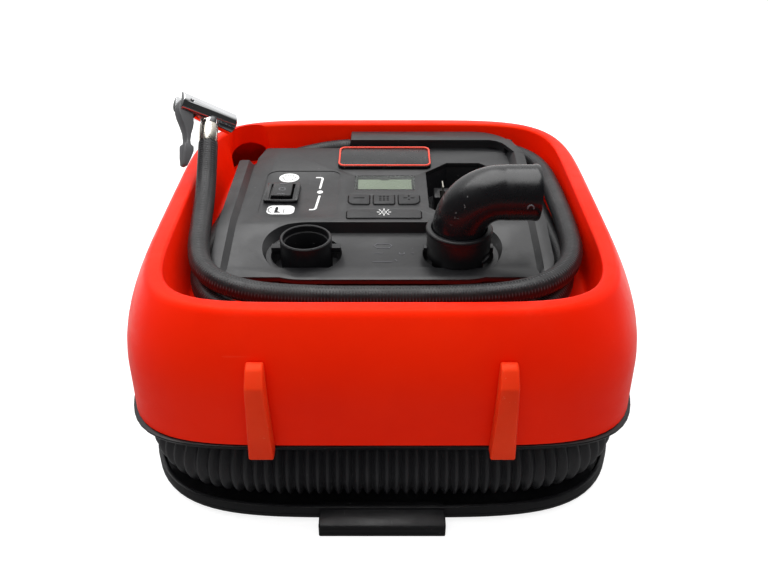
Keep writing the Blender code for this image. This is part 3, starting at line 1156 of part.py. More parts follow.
def build_coil_hose(body):
    """The corrugated hose, once round the groove, with both cuffs on one spigot at the back."""
    middle = GROOVE_FLOOR + GROOVE_HEIGHT / 2.0
    ring = square_ring(COIL_HOSE_HALF_X, COIL_HOSE_HALF_Y, COIL_HOSE_POWER, middle)
    ends = [(side * COIL_HOSE_END, COIL_HOSE_HALF_Y, middle) for side in (-1, 1)]
    straight = COIL_HOSE_END + COIL_HOSE_RADIUS / 2
    run = [point for point in ring if point[1] < 0.0 or abs(point[0]) > straight + GROOVE_FLOOR]
    start = next(i for i, point in enumerate(run) if point[0] < 0.0 and point[1] > 0.0
                 and run[i - 1][0] > 0.0)
    run = run[start:] + run[:start]
    leads = [(side * straight, COIL_HOSE_HALF_Y, middle) for side in (-1, 1)]
    route = [Vector(point) for point in (ends[0], leads[0], *run, leads[1], ends[1])]
    ribs = round(path_length(route) / COIL_HOSE_PITCH)
    valley = 1.0 - COIL_HOSE_RIB / COIL_HOSE_RADIUS
    add_tube("corrugated_hose", smooth_path(route, 2 * ribs), COIL_HOSE_RADIUS, "rubber", body, 3,
             [valley, 1.0] * ribs + [valley])
    cuff_bore = COIL_HOSE_RADIUS - CUFF_WALL
    for side, name in ((-1, "hose_cuff_left"), (1, "hose_cuff_right")):
        near, far = COIL_HOSE_END - GAP - CUFF_LENGTH, COIL_HOSE_END - GAP
        cuff = lathe(tube_profile(cuff_bore, COIL_HOSE_RADIUS, min(side * near, side * far),
                                  max(side * near, side * far)), 24)
        add_piece(name, lay(cuff, "X"), "black", body, (0.0, COIL_HOSE_HALF_Y, middle), 30)
    length = COIL_HOSE_END - 4 * GAP
    spigot = add_piece("hose_spigot", lay(rod(cuff_bore - GAP, -length, length, 24), "X"), "black",
                       body, (0.0, COIL_HOSE_HALF_Y, middle), 30)
    web_width = 2 * (COIL_HOSE_END - CUFF_LENGTH) - 4 * GAP
    web_front = CORE_HALF_Y + GAP
    web = block(web_width, COIL_HOSE_HALF_Y - web_front, middle - SPIGOT_WEB / 2,
                middle + SPIGOT_WEB / 2, 0.0, (COIL_HOSE_HALF_Y + web_front) / 2)
    join(spigot, add_piece("spigot_web", web, None, body))


# ---------------------------------------------------------------- tyre hose and chuck

def build_gland(body):
    """The fitting on the tray floor that the hose comes out of, with a tapered relief."""
    seat = TRAY_FLOOR + GAP
    z = HOSE_ROUTE[0][2]
    gland = add_piece("hose_gland", block(*GLAND_SIZE[:2], seat, seat + GLAND_SIZE[2],
                                          GLAND_X, GLAND_Y), "black", body, smooth=30)
    nose = lathe([(0.0, GLAND_NOSE - GAP), (HOSE_RADIUS * 0.9, GLAND_NOSE - GAP),
                  (HOSE_RADIUS, 0.0), (HOSE_RADIUS, -GLAND_SIZE[0] * 0.8), (0.0, -GLAND_SIZE[0] * 0.8)], 16)
    nose_piece = add_piece("gland_nose", lay(nose, "X"), None, body,
                           (GLAND_X + GLAND_SIZE[0] / 2, GLAND_Y, z))
    stem = rod(GLAND_STEM, TRAY_FLOOR - GLAND_STEM_LENGTH, seat + GLAND_SIZE[2] / 2, 16)
    join(gland, nose_piece, add_piece("gland_stem", stem, None, body, (GLAND_X, GLAND_Y, 0.0)))


def chuck_frame(body):
    """Axes of the chuck: X to its mouth, Z on along the hose's last stretch."""
    lean = math.radians(CHUCK_LEAN)
    last, before = (Vector(HOSE_ROUTE[i]) for i in (-1, -2))
    along = Vector(((last - before).normalized().x, math.cos(lean), math.sin(lean))).normalized()
    level = Vector((1.0, 0.0, 0.0))
    level = (level - along * level.dot(along)).normalized()
    side = along.cross(level)
    roll = Matrix.Rotation(math.radians(CHUCK_ROLL), 3, along)
    mouth, pin = roll @ level, roll @ side
    place = Matrix((mouth, pin, along)).transposed().to_4x4()
    place.translation = last + along * (FERRULE_LENGTH + CHUCK_RADIUS + CHUCK_NECK + 2 * GAP)
    empty = add_empty("chuck_axes", (0.0, 0.0, 0.0), body)
    empty.matrix_local = place
    return empty


def build_chuck(body):
    axes = chuck_frame(body)
    neck_low = -CHUCK_RADIUS - CHUCK_NECK
    ferrule = rod(FERRULE_RADIUS, neck_low - GAP - FERRULE_LENGTH, neck_low - GAP, 20)
    add_piece("hose_ferrule", ferrule, "nickel", axes, smooth=30)
    rear = CHUCK_MOUTH - CHUCK_LENGTH
    barrel = lathe([(0.0, rear), (CHUCK_RADIUS - GAP, rear), (CHUCK_RADIUS, rear + 2 * GAP),
                    (CHUCK_RADIUS, CHUCK_MOUTH - 4 * GAP), (CHUCK_RADIUS - 4 * GAP, CHUCK_MOUTH),
                    (CHUCK_BORE, CHUCK_MOUTH), (CHUCK_BORE, CHUCK_MOUTH - 2 * CHUCK_BORE),
                    (0.0, CHUCK_MOUTH - 2 * CHUCK_BORE)], 24)
    chuck = add_piece("chuck_body", lay(barrel, "X"), "chrome", axes, smooth=30)
    neck = rod(FERRULE_RADIUS - GAP, neck_low, 0.0, 16)
    join(chuck, add_piece("chuck_neck", neck, None, axes))
    slot = block(2 * CHUCK_SLOT_DEPTH, CHUCK_SLOT, -2 * CHUCK_RADIUS, 2 * CHUCK_RADIUS, rear)
    pin_x = rear + CHUCK_SLOT_DEPTH / 2
    pin_hole = moved(lay(rod(LEVER_PIN_RADIUS + GAP, -2 * CHUCK_RADIUS, 2 * CHUCK_RADIUS, 12), "Y"),
                     x=pin_x)
    cut(chuck, add_piece("lever_slot", slot, None, axes),
        add_piece("pin_hole", pin_hole, None, axes))
    pin = lay(rod(LEVER_PIN_RADIUS, -CHUCK_RADIUS * 0.8, CHUCK_RADIUS * 0.8, 12), "Y")
    add_piece("lever_pin", pin, "steel", axes, (pin_x, 0.0, 0.0), 30)
    seal_low = CHUCK_MOUTH - 2 * CHUCK_BORE + GAP
    seal = lathe(tube_profile(CHUCK_BORE / 2.4, CHUCK_BORE - GAP, seal_low,
                              seal_low + CHUCK_SEAL_THICK), 16)
    add_piece("chuck_seal", lay(seal, "X"), "rubber", axes, smooth=30)
    outline = lever_outline()
    lever = prism(outline, -LEVER_WIDTH / 2, LEVER_WIDTH / 2)
    turn = Matrix(((1, 0, 0), (0, 0, -1), (0, 1, 0))).to_4x4()
    bmesh.ops.transform(lever, matrix=turn, verts=lever.verts)
    lever_piece = add_piece("chuck_lever", lever, "black", axes, (pin_x, 0.0, 0.0), 40)
    hole = lay(rod(LEVER_PIN_RADIUS + RUN_GAP, -LEVER_WIDTH, LEVER_WIDTH, 12), "Y")
    cut(lever_piece, add_piece("lever_hole", hole, None, axes, (pin_x, 0.0, 0.0)))


def lever_outline():
    """The thumb lever's side view, hanging beside the hose from its pin at the origin."""
    cam = CHUCK_SLOT_DEPTH / 2 - 2 * RUN_GAP
    near, far = cam * 0.40, cam * 1.20
    points = arc(0.0, 0.0, cam, 60, 180, 5)
    for drop, left, right in LEVER_SHAPE:
        points.append((left * far, -drop * LEVER_LENGTH))
    for drop, left, right in reversed(LEVER_SHAPE):
        points.append((right * near, -drop * LEVER_LENGTH))
    points += arc(0.0, 0.0, cam, -60, 0, 3)
    return points


def build_tyre_hose(body):
    path = smooth_path(HOSE_ROUTE, HOSE_STEPS)
    add_tube("tyre_hose", path, HOSE_RADIUS, "rubber", body, 2)


def main():
    clear_scene()
    body = add_empty("body", (0.0, BODY_Y, 0.0))
    build_shell(body)
    build_pan(body)
    build_mid_frame(body)
    build_stand_feet(body)
    build_feet_and_screws(body)
    build_panel(body)
    build_gauge(body)
    build_keys(body)
    build_rocker(body)
    build_badge(body)
    build_dock(body)
    build_port("deflate_port", body, -1)
    build_port("inflate_port", body, 1)
    build_nozzle(body)
    build_blower(body)
    build_pump(body)
    build_coil_hose(body)
    build_gland(body)
    build_tyre_hose(body)
    build_chuck(body)


main()
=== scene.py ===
import math

import bmesh
import bpy
from mathutils import Matrix, Vector
from mathutils.bvhtree import BVHTree


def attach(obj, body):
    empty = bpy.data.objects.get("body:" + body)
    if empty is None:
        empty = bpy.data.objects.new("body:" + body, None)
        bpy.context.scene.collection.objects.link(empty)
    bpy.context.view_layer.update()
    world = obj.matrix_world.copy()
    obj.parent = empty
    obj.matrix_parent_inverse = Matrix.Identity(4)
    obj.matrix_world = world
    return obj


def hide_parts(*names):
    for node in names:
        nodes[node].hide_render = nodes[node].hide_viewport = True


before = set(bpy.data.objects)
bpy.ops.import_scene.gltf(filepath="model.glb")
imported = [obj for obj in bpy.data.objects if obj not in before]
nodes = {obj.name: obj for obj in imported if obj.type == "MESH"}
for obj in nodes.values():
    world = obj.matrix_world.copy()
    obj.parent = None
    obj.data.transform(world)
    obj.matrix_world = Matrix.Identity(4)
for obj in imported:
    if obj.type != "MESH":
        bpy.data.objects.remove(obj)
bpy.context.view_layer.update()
setBack = 0.0047  # the tub's middle stands this far behind the part's origin
# Everything below is in metres round the tub's middle: left is -X, the front is -Y.


# Shapes.

def squircle(halfX, halfY, power, height, midX=0.0, count=176):
    points = []
    for step in range(count):
        angle = 2 * math.pi * (step + 0.5) / count
        c, s = math.cos(angle), math.sin(angle)
        reach = (abs(c) ** power + abs(s) ** power) ** (-1 / power)
        points.append(Vector((midX + halfX * reach * c, halfY * reach * s, height)))
    return points


def arc(midX, midY, radius, start, end, steps):
    turns = [math.radians(start + (end - start) * step / steps) for step in range(steps + 1)]
    return [(midX + radius * math.cos(t), midY + radius * math.sin(t)) for t in turns]


def roundBox(sizeX, sizeY, radius, x=0.0, y=0.0, steps=8):
    radii = radius if isinstance(radius, tuple) else (radius,) * 4
    points = []  # the corners run front right, rear right, rear left, front left
    for (sx, sy, start), r in zip(((1, -1, -90), (1, 1, 0), (-1, 1, 90), (-1, -1, 180)), radii):
        points += arc(x + sx * (sizeX / 2 - r), y + sy * (sizeY / 2 - r), r, start, start + 90,
                      steps)
    return points


def isVert(item):
    return isinstance(item, bmesh.types.BMVert)


def isEdge(item):
    return isinstance(item, bmesh.types.BMEdge)


def skin(rings, capFirst=True, capLast=True):
    bm = bmesh.new()
    spot = bm.verts.layers.int.new("spot")
    verts = [bm.verts.new(point) for point in rings[0]]
    for index, vert in enumerate(verts):
        vert[spot] = index
    edges = [bm.edges.new((verts[i - 1], verts[i])) for i in range(len(verts))]
    if capFirst:
        bmesh.ops.contextual_create(bm, geom=edges)
    for ring in rings[1:]:
        made = bmesh.ops.extrude_edge_only(bm, edges=edges)["geom"]
        for vert in filter(isVert, made):
            vert.co = ring[vert[spot]]
        edges = list(filter(isEdge, made))
    if capLast:
        bmesh.ops.contextual_create(bm, geom=edges)
    return bm


def slab(outline, low, high):
    bm = bmesh.new()
    face = bm.faces.new([bm.verts.new((x, y, low)) for x, y in outline])
    made = bmesh.ops.extrude_face_region(bm, geom=[face])["geom"]
    bmesh.ops.translate(bm, verts=list(filter(isVert, made)), vec=(0, 0, high - low))
    return bm


def box(sizeX, sizeY, low, high, x=0.0, y=0.0):
    return slab([(x - sizeX / 2, y - sizeY / 2), (x + sizeX / 2, y - sizeY / 2),
                 (x + sizeX / 2, y + sizeY / 2), (x - sizeX / 2, y + sizeY / 2)], low, high)


def sideSlab(outline, left, right):  # an outline in Y and Z, pulled along X
    bm = slab(outline, left, right)
    bmesh.ops.transform(bm, verts=bm.verts,
                        matrix=Matrix(((0, 0, 1), (1, 0, 0), (0, 1, 0))).to_4x4())
    return bm


def turned(profile, steps=64, closed=False):  # radius and height, spun about Z
    bm = bmesh.new()
    verts = [bm.verts.new((radius, 0, z)) for radius, z in profile]
    edges = [bm.edges.new(pair) for pair in zip(verts, verts[1:])]
    if closed:
        edges.append(bm.edges.new((verts[-1], verts[0])))
    bmesh.ops.spin(bm, geom=verts + edges, cent=(0, 0, 0), axis=(0, 0, 1), dvec=(0, 0, 0),
                   angle=2 * math.pi, steps=steps, use_merge=True, use_duplicate=False)
    bmesh.ops.remove_doubles(bm, verts=bm.verts, dist=1e-7)
    return bm


def rod(radius, low, high, steps=48):
    bm = bmesh.new()
    bmesh.ops.create_cone(bm, cap_ends=True, segments=steps, radius1=radius, radius2=radius,
                          depth=high - low)
    return shifted(bm, z=(high + low) / 2)


def shifted(bm, x=0.0, y=0.0, z=0.0):
    bmesh.ops.translate(bm, verts=bm.verts, vec=(x, y, z))
    return bm


def added(bm, *others):
    for other in others:
        mesh = bpy.data.meshes.new("part")
        other.to_mesh(mesh)
        other.free()
        bm.from_mesh(mesh)
        bpy.data.meshes.remove(mesh)
    return bm


def soften(bm, width, segments=2, angle=30):
    bmesh.ops.remove_doubles(bm, verts=bm.verts, dist=1e-6)
    bmesh.ops.recalc_face_normals(bm, faces=bm.faces)
    sharp = [edge for edge in bm.edges
             if len(edge.link_faces) == 2 and edge.calc_face_angle(0) > math.radians(angle)]
    bmesh.ops.bevel(bm, geom=sharp, offset=width, offset_type="OFFSET", segments=segments,
                    profile=0.5, affect="EDGES", clamp_overlap=True, material=-1)
    return bm


def looseObject(bm, name):
    bmesh.ops.recalc_face_normals(bm, faces=bm.faces)
    mesh = bpy.data.meshes.new(name)
    bm.to_mesh(mesh)
    bm.free()
    obj = bpy.data.objects.new(name, mesh)
    bpy.context.scene.collection.objects.link(obj)
    return obj


def cut(tool):
    return "DIFFERENCE", tool


def join(tool):
    return "UNION", tool


def carved(bm, steps):  # steps name each boolean and its tool, in order
    base = looseObject(bm, "base")
    tools = []
    for operation, tool in steps:
        tools.append(looseObject(tool, "tool"))
        modifier = base.modifiers.new("carve", "BOOLEAN")
        modifier.operation, modifier.solver, modifier.object = operation, "EXACT", tools[-1]
    bpy.context.view_layer.update()
    shaped = bmesh.new()
    shaped.from_object(base, bpy.context.evaluated_depsgraph_get())
    for obj in (base, *tools):
        mesh = obj.data
        bpy.data.objects.remove(obj)
        bpy.data.meshes.remove(mesh)
    bmesh.ops.remove_doubles(shaped, verts=shaped.verts, dist=2e-6)
    bmesh.ops.dissolve_degenerate(shaped, edges=shaped.edges, dist=1e-6)
    return shaped


def publish(name, bm, finish, body="housing", stands=(), smooth=32, inPlace=False):
    if not inPlace:
        shifted(bm, y=setBack)
    bmesh.ops.remove_doubles(bm, verts=bm.verts, dist=1e-7)
    bmesh.ops.recalc_face_normals(bm, faces=bm.faces)
    mesh = bpy.data.meshes.new(name)
    bm.to_mesh(mesh)
    bm.free()
    mesh.shade_smooth()
    mesh.set_sharp_from_angle(angle=math.radians(smooth))
    mesh.materials.append(finishes[finish])
    obj = bpy.data.objects.new(name, mesh)
    bpy.context.scene.collection.objects.link(obj)
    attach(obj, body)
    if stands:
        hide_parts(*stands)
    return obj


def nodeCopy(node):  # a merged copy of a CAD node, with flat faces made whole again
    bm = bmesh.new()
    bm.from_mesh(nodes[node].data)
    bmesh.ops.remove_doubles(bm, verts=bm.verts, dist=1e-6)
    bmesh.ops.recalc_face_normals(bm, faces=bm.faces)
    bmesh.ops.dissolve_limit(bm, angle_limit=math.radians(1), verts=bm.verts, edges=bm.edges)
    return bm


def dress(node, finish, width, segments=2):
    bm = soften(nodeCopy(node), width, segments)
    return publish(node + "_skin", bm, finish, stands=(node,), inPlace=True)


def repaint(node, finish):
    nodes[node].data.materials.clear()
    nodes[node].data.materials.append(finishes[finish])


def smoothPath(points, steps):  # evenly spaced points on a smooth curve through the given ones
    knots = [Vector(point) for point in points]
    knots = [2 * knots[0] - knots[1], *knots, 2 * knots[-1] - knots[-2]]
    fine = []
    for i in range(1, len(knots) - 2):
        p0, p1, p2, p3 = knots[i - 1:i + 3]
        for part in range(24):
            t = part / 24
            fine.append(0.5 * (2 * p1 + (p2 - p0) * t + (2 * p0 - 5 * p1 + 4 * p2 - p3) * t ** 2
                               + (3 * p1 - p0 - 3 * p2 + p3) * t ** 3))
    fine.append(knots[-2])
    reach = [0.0]
    for a, b in zip(fine, fine[1:]):
        reach.append(reach[-1] + (b - a).length)
    path, at = [], 0
    for step in range(steps + 1):
        want = reach[-1] * step / steps
        while at < len(reach) - 2 and reach[at + 1] < want:
            at += 1
        path.append(fine[at].lerp(fine[at + 1], (want - reach[at]) / (reach[at + 1] - reach[at])))
    return path


# A grid wrapped round a path; its UV is metres along and turns round
def sweep(path, radiusAt, sides):
    steps = len(path) - 1
    bm = bmesh.new()
    bmesh.ops.create_grid(bm, x_segments=steps, y_segments=sides, size=1)
    ahead = [(path[min(i + 1, steps)] - path[max(i - 1, 0)]).normalized() for i in range(steps + 1)]
    side = ahead[0].orthogonal().normalized()
    sidesAt = []
    for direction in ahead:
        side = (side - direction * side.dot(direction)).normalized()
        sidesAt.append((side.copy(), direction.cross(side)))
    length = [0.0]
    for a, b in zip(path, path[1:]):
        length.append(length[-1] + (b - a).length)
    along, turn = {}, {}
    for vert in bm.verts:
        i = round((vert.co.x + 1) / 2 * steps)
        share = round((vert.co.y + 1) / 2 * sides) / sides
        along[vert], turn[vert] = length[i], share
        angle = 2 * math.pi * share
        u, v = sidesAt[i]
        vert.co = path[i] + (u * math.cos(angle)
                             + v * math.sin(angle)) * radiusAt(length[i], length[-1])
    layer = bm.loops.layers.uv.new("UVMap")
    for face in bm.faces:
        for loop in face.loops:
            loop[layer].uv = (along[loop.vert], turn[loop.vert])
    bmesh.ops.remove_doubles(bm, verts=bm.verts, dist=1e-6)
    rims = [edge for edge in bm.edges if edge.is_boundary]
    bmesh.ops.holes_fill(bm, edges=rims, sides=0)
    return bm


# Shader groups.

def give(made, **values):  # constants for a node's sockets, with _ for each space
    for label, value in values.items():
        made.inputs[label.replace("_", " ")].default_value = value


def node(tree, kind, **settings):
    made = tree.nodes.new(kind)
    for key, value in settings.items():
        if hasattr(made, key):
            setattr(made, key, value)
        else:
            give(made, **{key: value})
    return made


def link(tree, output, socket):
    tree.links.new(output, socket)


def group(name, inputs, outputs):
    tree = bpy.data.node_groups.new(name, "ShaderNodeTree")
    for label, value in inputs.items():
        socket = tree.interface.new_socket(label, in_out="INPUT", socket_type="NodeSocketFloat")
        socket.default_value = value
    for label in outputs:
        tree.interface.new_socket(label, in_out="OUTPUT", socket_type="NodeSocketFloat")
    return tree, tree.nodes.new("NodeGroupInput").outputs, tree.nodes.new("NodeGroupOutput").inputs


def calculated(tree, operation, a, b, clamp=False):
    made = node(tree, "ShaderNodeMath", operation=operation, use_clamp=clamp)
    for socket, value in zip(made.inputs, (a, b)):
        if isinstance(value, (int, float)):
            socket.default_value = value
        else:
            link(tree, value, socket)
    return made.outputs[0]


def times(tree, a, b, clamp=False):
    return calculated(tree, "MULTIPLY", a, b, clamp)


def plus(tree, a, b, clamp=False):
    return calculated(tree, "ADD", a, b, clamp)


def minus(tree, a, b, clamp=False):
    return calculated(tree, "SUBTRACT", a, b, clamp)


def larger(tree, a, b):
    return calculated(tree, "MAXIMUM", a, b)


def mapped(tree, value, low, high, toLow=0.0, toHigh=1.0):
    made = node(tree, "ShaderNodeMapRange", interpolation_type="SMOOTHSTEP")
    link(tree, value, made.inputs["Value"])
    for label, number in zip(("From Min", "From Max", "To Min", "To Max"),
                             (low, high, toLow, toHigh)):
        made.inputs[label].default_value = number
    return made.outputs[0]


def mouldedSkinGroup():
    tree, given, gives = group("mouldedSkin", {"Grain Scale": 900.0, "Cloud Scale": 12.0},
                               ("Tone", "Grain", "Gloss"))
    place = node(tree, "ShaderNodeTexCoord").outputs["Object"]
    cloud = node(tree, "ShaderNodeTexNoise", Detail=5.0, Roughness=0.6)
    grain = node(tree, "ShaderNodeTexNoise", Detail=2.0, Roughness=0.5)
    pits = node(tree, "ShaderNodeTexVoronoi", feature="SMOOTH_F1")
    smear = node(tree, "ShaderNodeTexNoise", Scale=38.0, Detail=6.0, Roughness=0.72, Distortion=0.6)
    for texture in (cloud, grain, pits, smear):
        link(tree, place, texture.inputs["Vector"])
    link(tree, given["Cloud Scale"], cloud.inputs["Scale"])
    link(tree, given["Grain Scale"], grain.inputs["Scale"])
    link(tree, times(tree, given["Grain Scale"], 0.6), pits.inputs["Scale"])
    link(tree, mapped(tree, cloud.outputs["Fac"], 0.3, 0.7), gives["Tone"])
    height = plus(tree, times(tree, grain.outputs["Fac"], 0.6),
                   times(tree, pits.outputs["Distance"], 0.5))
    link(tree, height, gives["Grain"])
    link(tree, mapped(tree, smear.outputs["Fac"], 0.32, 0.68), gives["Gloss"])
    return tree


def dustGroup():
    tree, given, gives = group("settledDust", {"Speck Scale": 260.0, "Amount": 0.5},
                               ("Specks", "Haze", "Scuffs"))
    place = node(tree, "ShaderNodeTexCoord").outputs["Object"]
    facing = node(tree, "ShaderNodeSeparateXYZ")
    link(tree, node(tree, "ShaderNodeNewGeometry").outputs["Normal"], facing.inputs[0])
    upward = mapped(tree, facing.outputs["Z"], 0.2, 0.95)
    dots = node(tree, "ShaderNodeTexVoronoi", feature="F1", Randomness=1.0)
    patch = node(tree, "ShaderNodeTexNoise", Scale=31.0, Detail=3.0)
    haze = node(tree, "ShaderNodeTexNoise", Scale=17.0, Detail=8.0, Roughness=0.75)
    for texture in (dots, patch, haze):
        link(tree, place, texture.inputs["Vector"])
    link(tree, given["Speck Scale"], dots.inputs["Scale"])
    near = mapped(tree, dots.outputs["Distance"], 0.1, 0.05)
    pick = node(tree, "ShaderNodeSeparateColor")
    link(tree, dots.outputs["Color"], pick.inputs[0])
    rare = mapped(tree, pick.outputs[0], 0.955, 0.99)
    specks = times(tree, times(tree, near, rare), upward)
    link(tree, times(tree, specks, given["Amount"], clamp=True), gives["Specks"])
    cloud = mapped(tree, haze.outputs["Fac"], 0.45, 0.8)
    link(tree, times(tree, times(tree, cloud, upward), given["Amount"]),
                   gives["Haze"])
    lines = []  # two sets of long thin scratches
    for turn, stretch in ((0.5, (14.0, 620.0, 620.0)), (2.1, (520.0, 11.0, 520.0))):
        lean = node(tree, "ShaderNodeMapping")
        lean.inputs["Rotation"].default_value = (0.0, 0.2, turn)
        lean.inputs["Scale"].default_value = stretch
        link(tree, place, lean.inputs["Vector"])
        hair = node(tree, "ShaderNodeTexNoise", Scale=1.0, Detail=1.0, Distortion=0.3)
        link(tree, lean.outputs[0], hair.inputs["Vector"])
        lines.append(mapped(tree, hair.outputs["Fac"], 0.74, 0.78))
    both = larger(tree, *lines)
    worn = times(tree, both, mapped(tree, patch.outputs["Fac"], 0.48, 0.62))
    link(tree, worn, gives["Scuffs"])
    return tree


skinGroup, wearGroup = mouldedSkinGroup(), dustGroup()


def wornSkin(tree, scale, dust):
    mould = node(tree, "ShaderNodeGroup", node_tree=skinGroup, Grain_Scale=scale)
    return mould.outputs, node(tree, "ShaderNodeGroup", node_tree=wearGroup, Amount=dust).outputs


def newMaterial(name):
    material = bpy.data.materials.new(name)
    material.use_nodes = True
    return material, material.node_tree, material.node_tree.nodes["Principled BSDF"]


def blendColours(tree, factor, a, b):
    mix = node(tree, "ShaderNodeMix", data_type="RGBA")
    if isinstance(factor, (int, float)):
        mix.inputs[0].default_value = factor
    else:
        link(tree, factor, mix.inputs[0])
    for socket, value in ((mix.inputs[6], a), (mix.inputs[7], b)):
        if isinstance(value, tuple):
            socket.default_value = (*value, 1.0)
        else:
            link(tree, value, socket)
    return mix.outputs[2]


def bumped(tree, shader, height, strength, distance):
    bump = node(tree, "ShaderNodeBump", Strength=strength, Distance=distance)
    link(tree, height, bump.inputs["Height"])
    link(tree, bump.outputs[0], shader.inputs["Normal"])


def moulded(name, deep, pale, rough, grain=0.25, scale=900.0, dust=0.5, scuff=0.2,
            specks=(0.5, 0.5, 0.5), **sockets):
    material, tree, shader = newMaterial(name)
    mould, wear = wornSkin(tree, scale, dust)
    colour = blendColours(tree, mould["Tone"], deep, pale)
    for factor in (times(tree, wear["Haze"], 0.12), times(tree, wear["Scuffs"], scuff),
                   wear["Specks"]):
        colour = blendColours(tree, factor, colour, specks)
    link(tree, colour, shader.inputs["Base Color"])
    roughness = mapped(tree, mould["Gloss"], 0.0, 1.0, *rough)
    roughness = plus(tree, roughness, times(tree, wear["Haze"], 0.15), True)
    link(tree, roughness, shader.inputs["Roughness"])
    give(shader, **sockets)
    if grain:
        bumped(tree, shader, mould["Grain"], grain, 0.0001)
    return material


def hoseRubber():
    look = {"deep": (0.004, 0.004, 0.005), "pale": (0.085, 0.087, 0.092), "pitch": 0.0018,
            "lean": 5.0}
    material, tree, shader = newMaterial("hoseRubber")
    place = node(tree, "ShaderNodeSeparateXYZ")
    link(tree, node(tree, "ShaderNodeTexCoord").outputs["UV"], place.inputs[0])
    cords = []
    for side in (1, -1):  # two crossing sets of cords under the cover
        phase = plus(tree, times(tree, place.outputs["X"], 2 * math.pi / look["pitch"]),
                      times(tree, place.outputs["Y"], side * 2 * math.pi * look["lean"]))
        wave = calculated(tree, "SINE", phase, 0.0)
        cords.append(mapped(tree, wave, -0.1, 1.0))
    weaveAndGlints = times(tree, cords[0], cords[1])
    mould, wear = wornSkin(tree, 1400.0, 0.7)
    # the cords' crests are painted paler: painted glints along the braid, while the braid's relief
    # itself comes from the bump below
    colour = blendColours(tree, times(tree, weaveAndGlints, 0.7), look["deep"], look["pale"])
    colour = blendColours(tree, times(tree, wear["Haze"], 0.1), colour, (0.4, 0.4, 0.38))
    colour = blendColours(tree, wear["Specks"], colour, (0.5, 0.5, 0.48))
    link(tree, colour, shader.inputs["Base Color"])
    link(tree, mapped(tree, mould["Gloss"], 0.0, 1.0, 0.36, 0.52), shader.inputs["Roughness"])
    height = plus(tree, weaveAndGlints, times(tree, mould["Grain"], 0.15))
    bumped(tree, shader, height, 0.8, 0.0006)
    return material


def polishedMetal(name, colour, rough):
    material, tree, shader = newMaterial(name)
    give(shader, Metallic=1.0)
    mould, wear = wornSkin(tree, 500.0, 0.6)
    shade = tuple(0.8 * part for part in colour)
    base = blendColours(tree, mould["Tone"], colour, shade)
    base = blendColours(tree, times(tree, wear["Scuffs"], 0.4), base, shade)
    link(tree, base, shader.inputs["Base Color"])
    link(tree, mapped(tree, mould["Gloss"], 0.0, 1.0, *rough), shader.inputs["Roughness"])
    height = plus(tree, times(tree, mould["Grain"], 0.3),
                   times(tree, wear["Scuffs"], -1.0))
    bumped(tree, shader, height, 0.12, 0.0001)
    return material


def clearWindow():
    material, tree, shader = newMaterial("clearWindow")
    give(shader, Base_Color=(0.92, 0.95, 0.92, 1), Transmission_Weight=1.0, IOR=1.18)
    mould = node(tree, "ShaderNodeGroup", node_tree=skinGroup).outputs
    link(tree, mapped(tree, mould["Gloss"], 0.0, 1.0, 0.02, 0.07), shader.inputs["Roughness"])
    return material


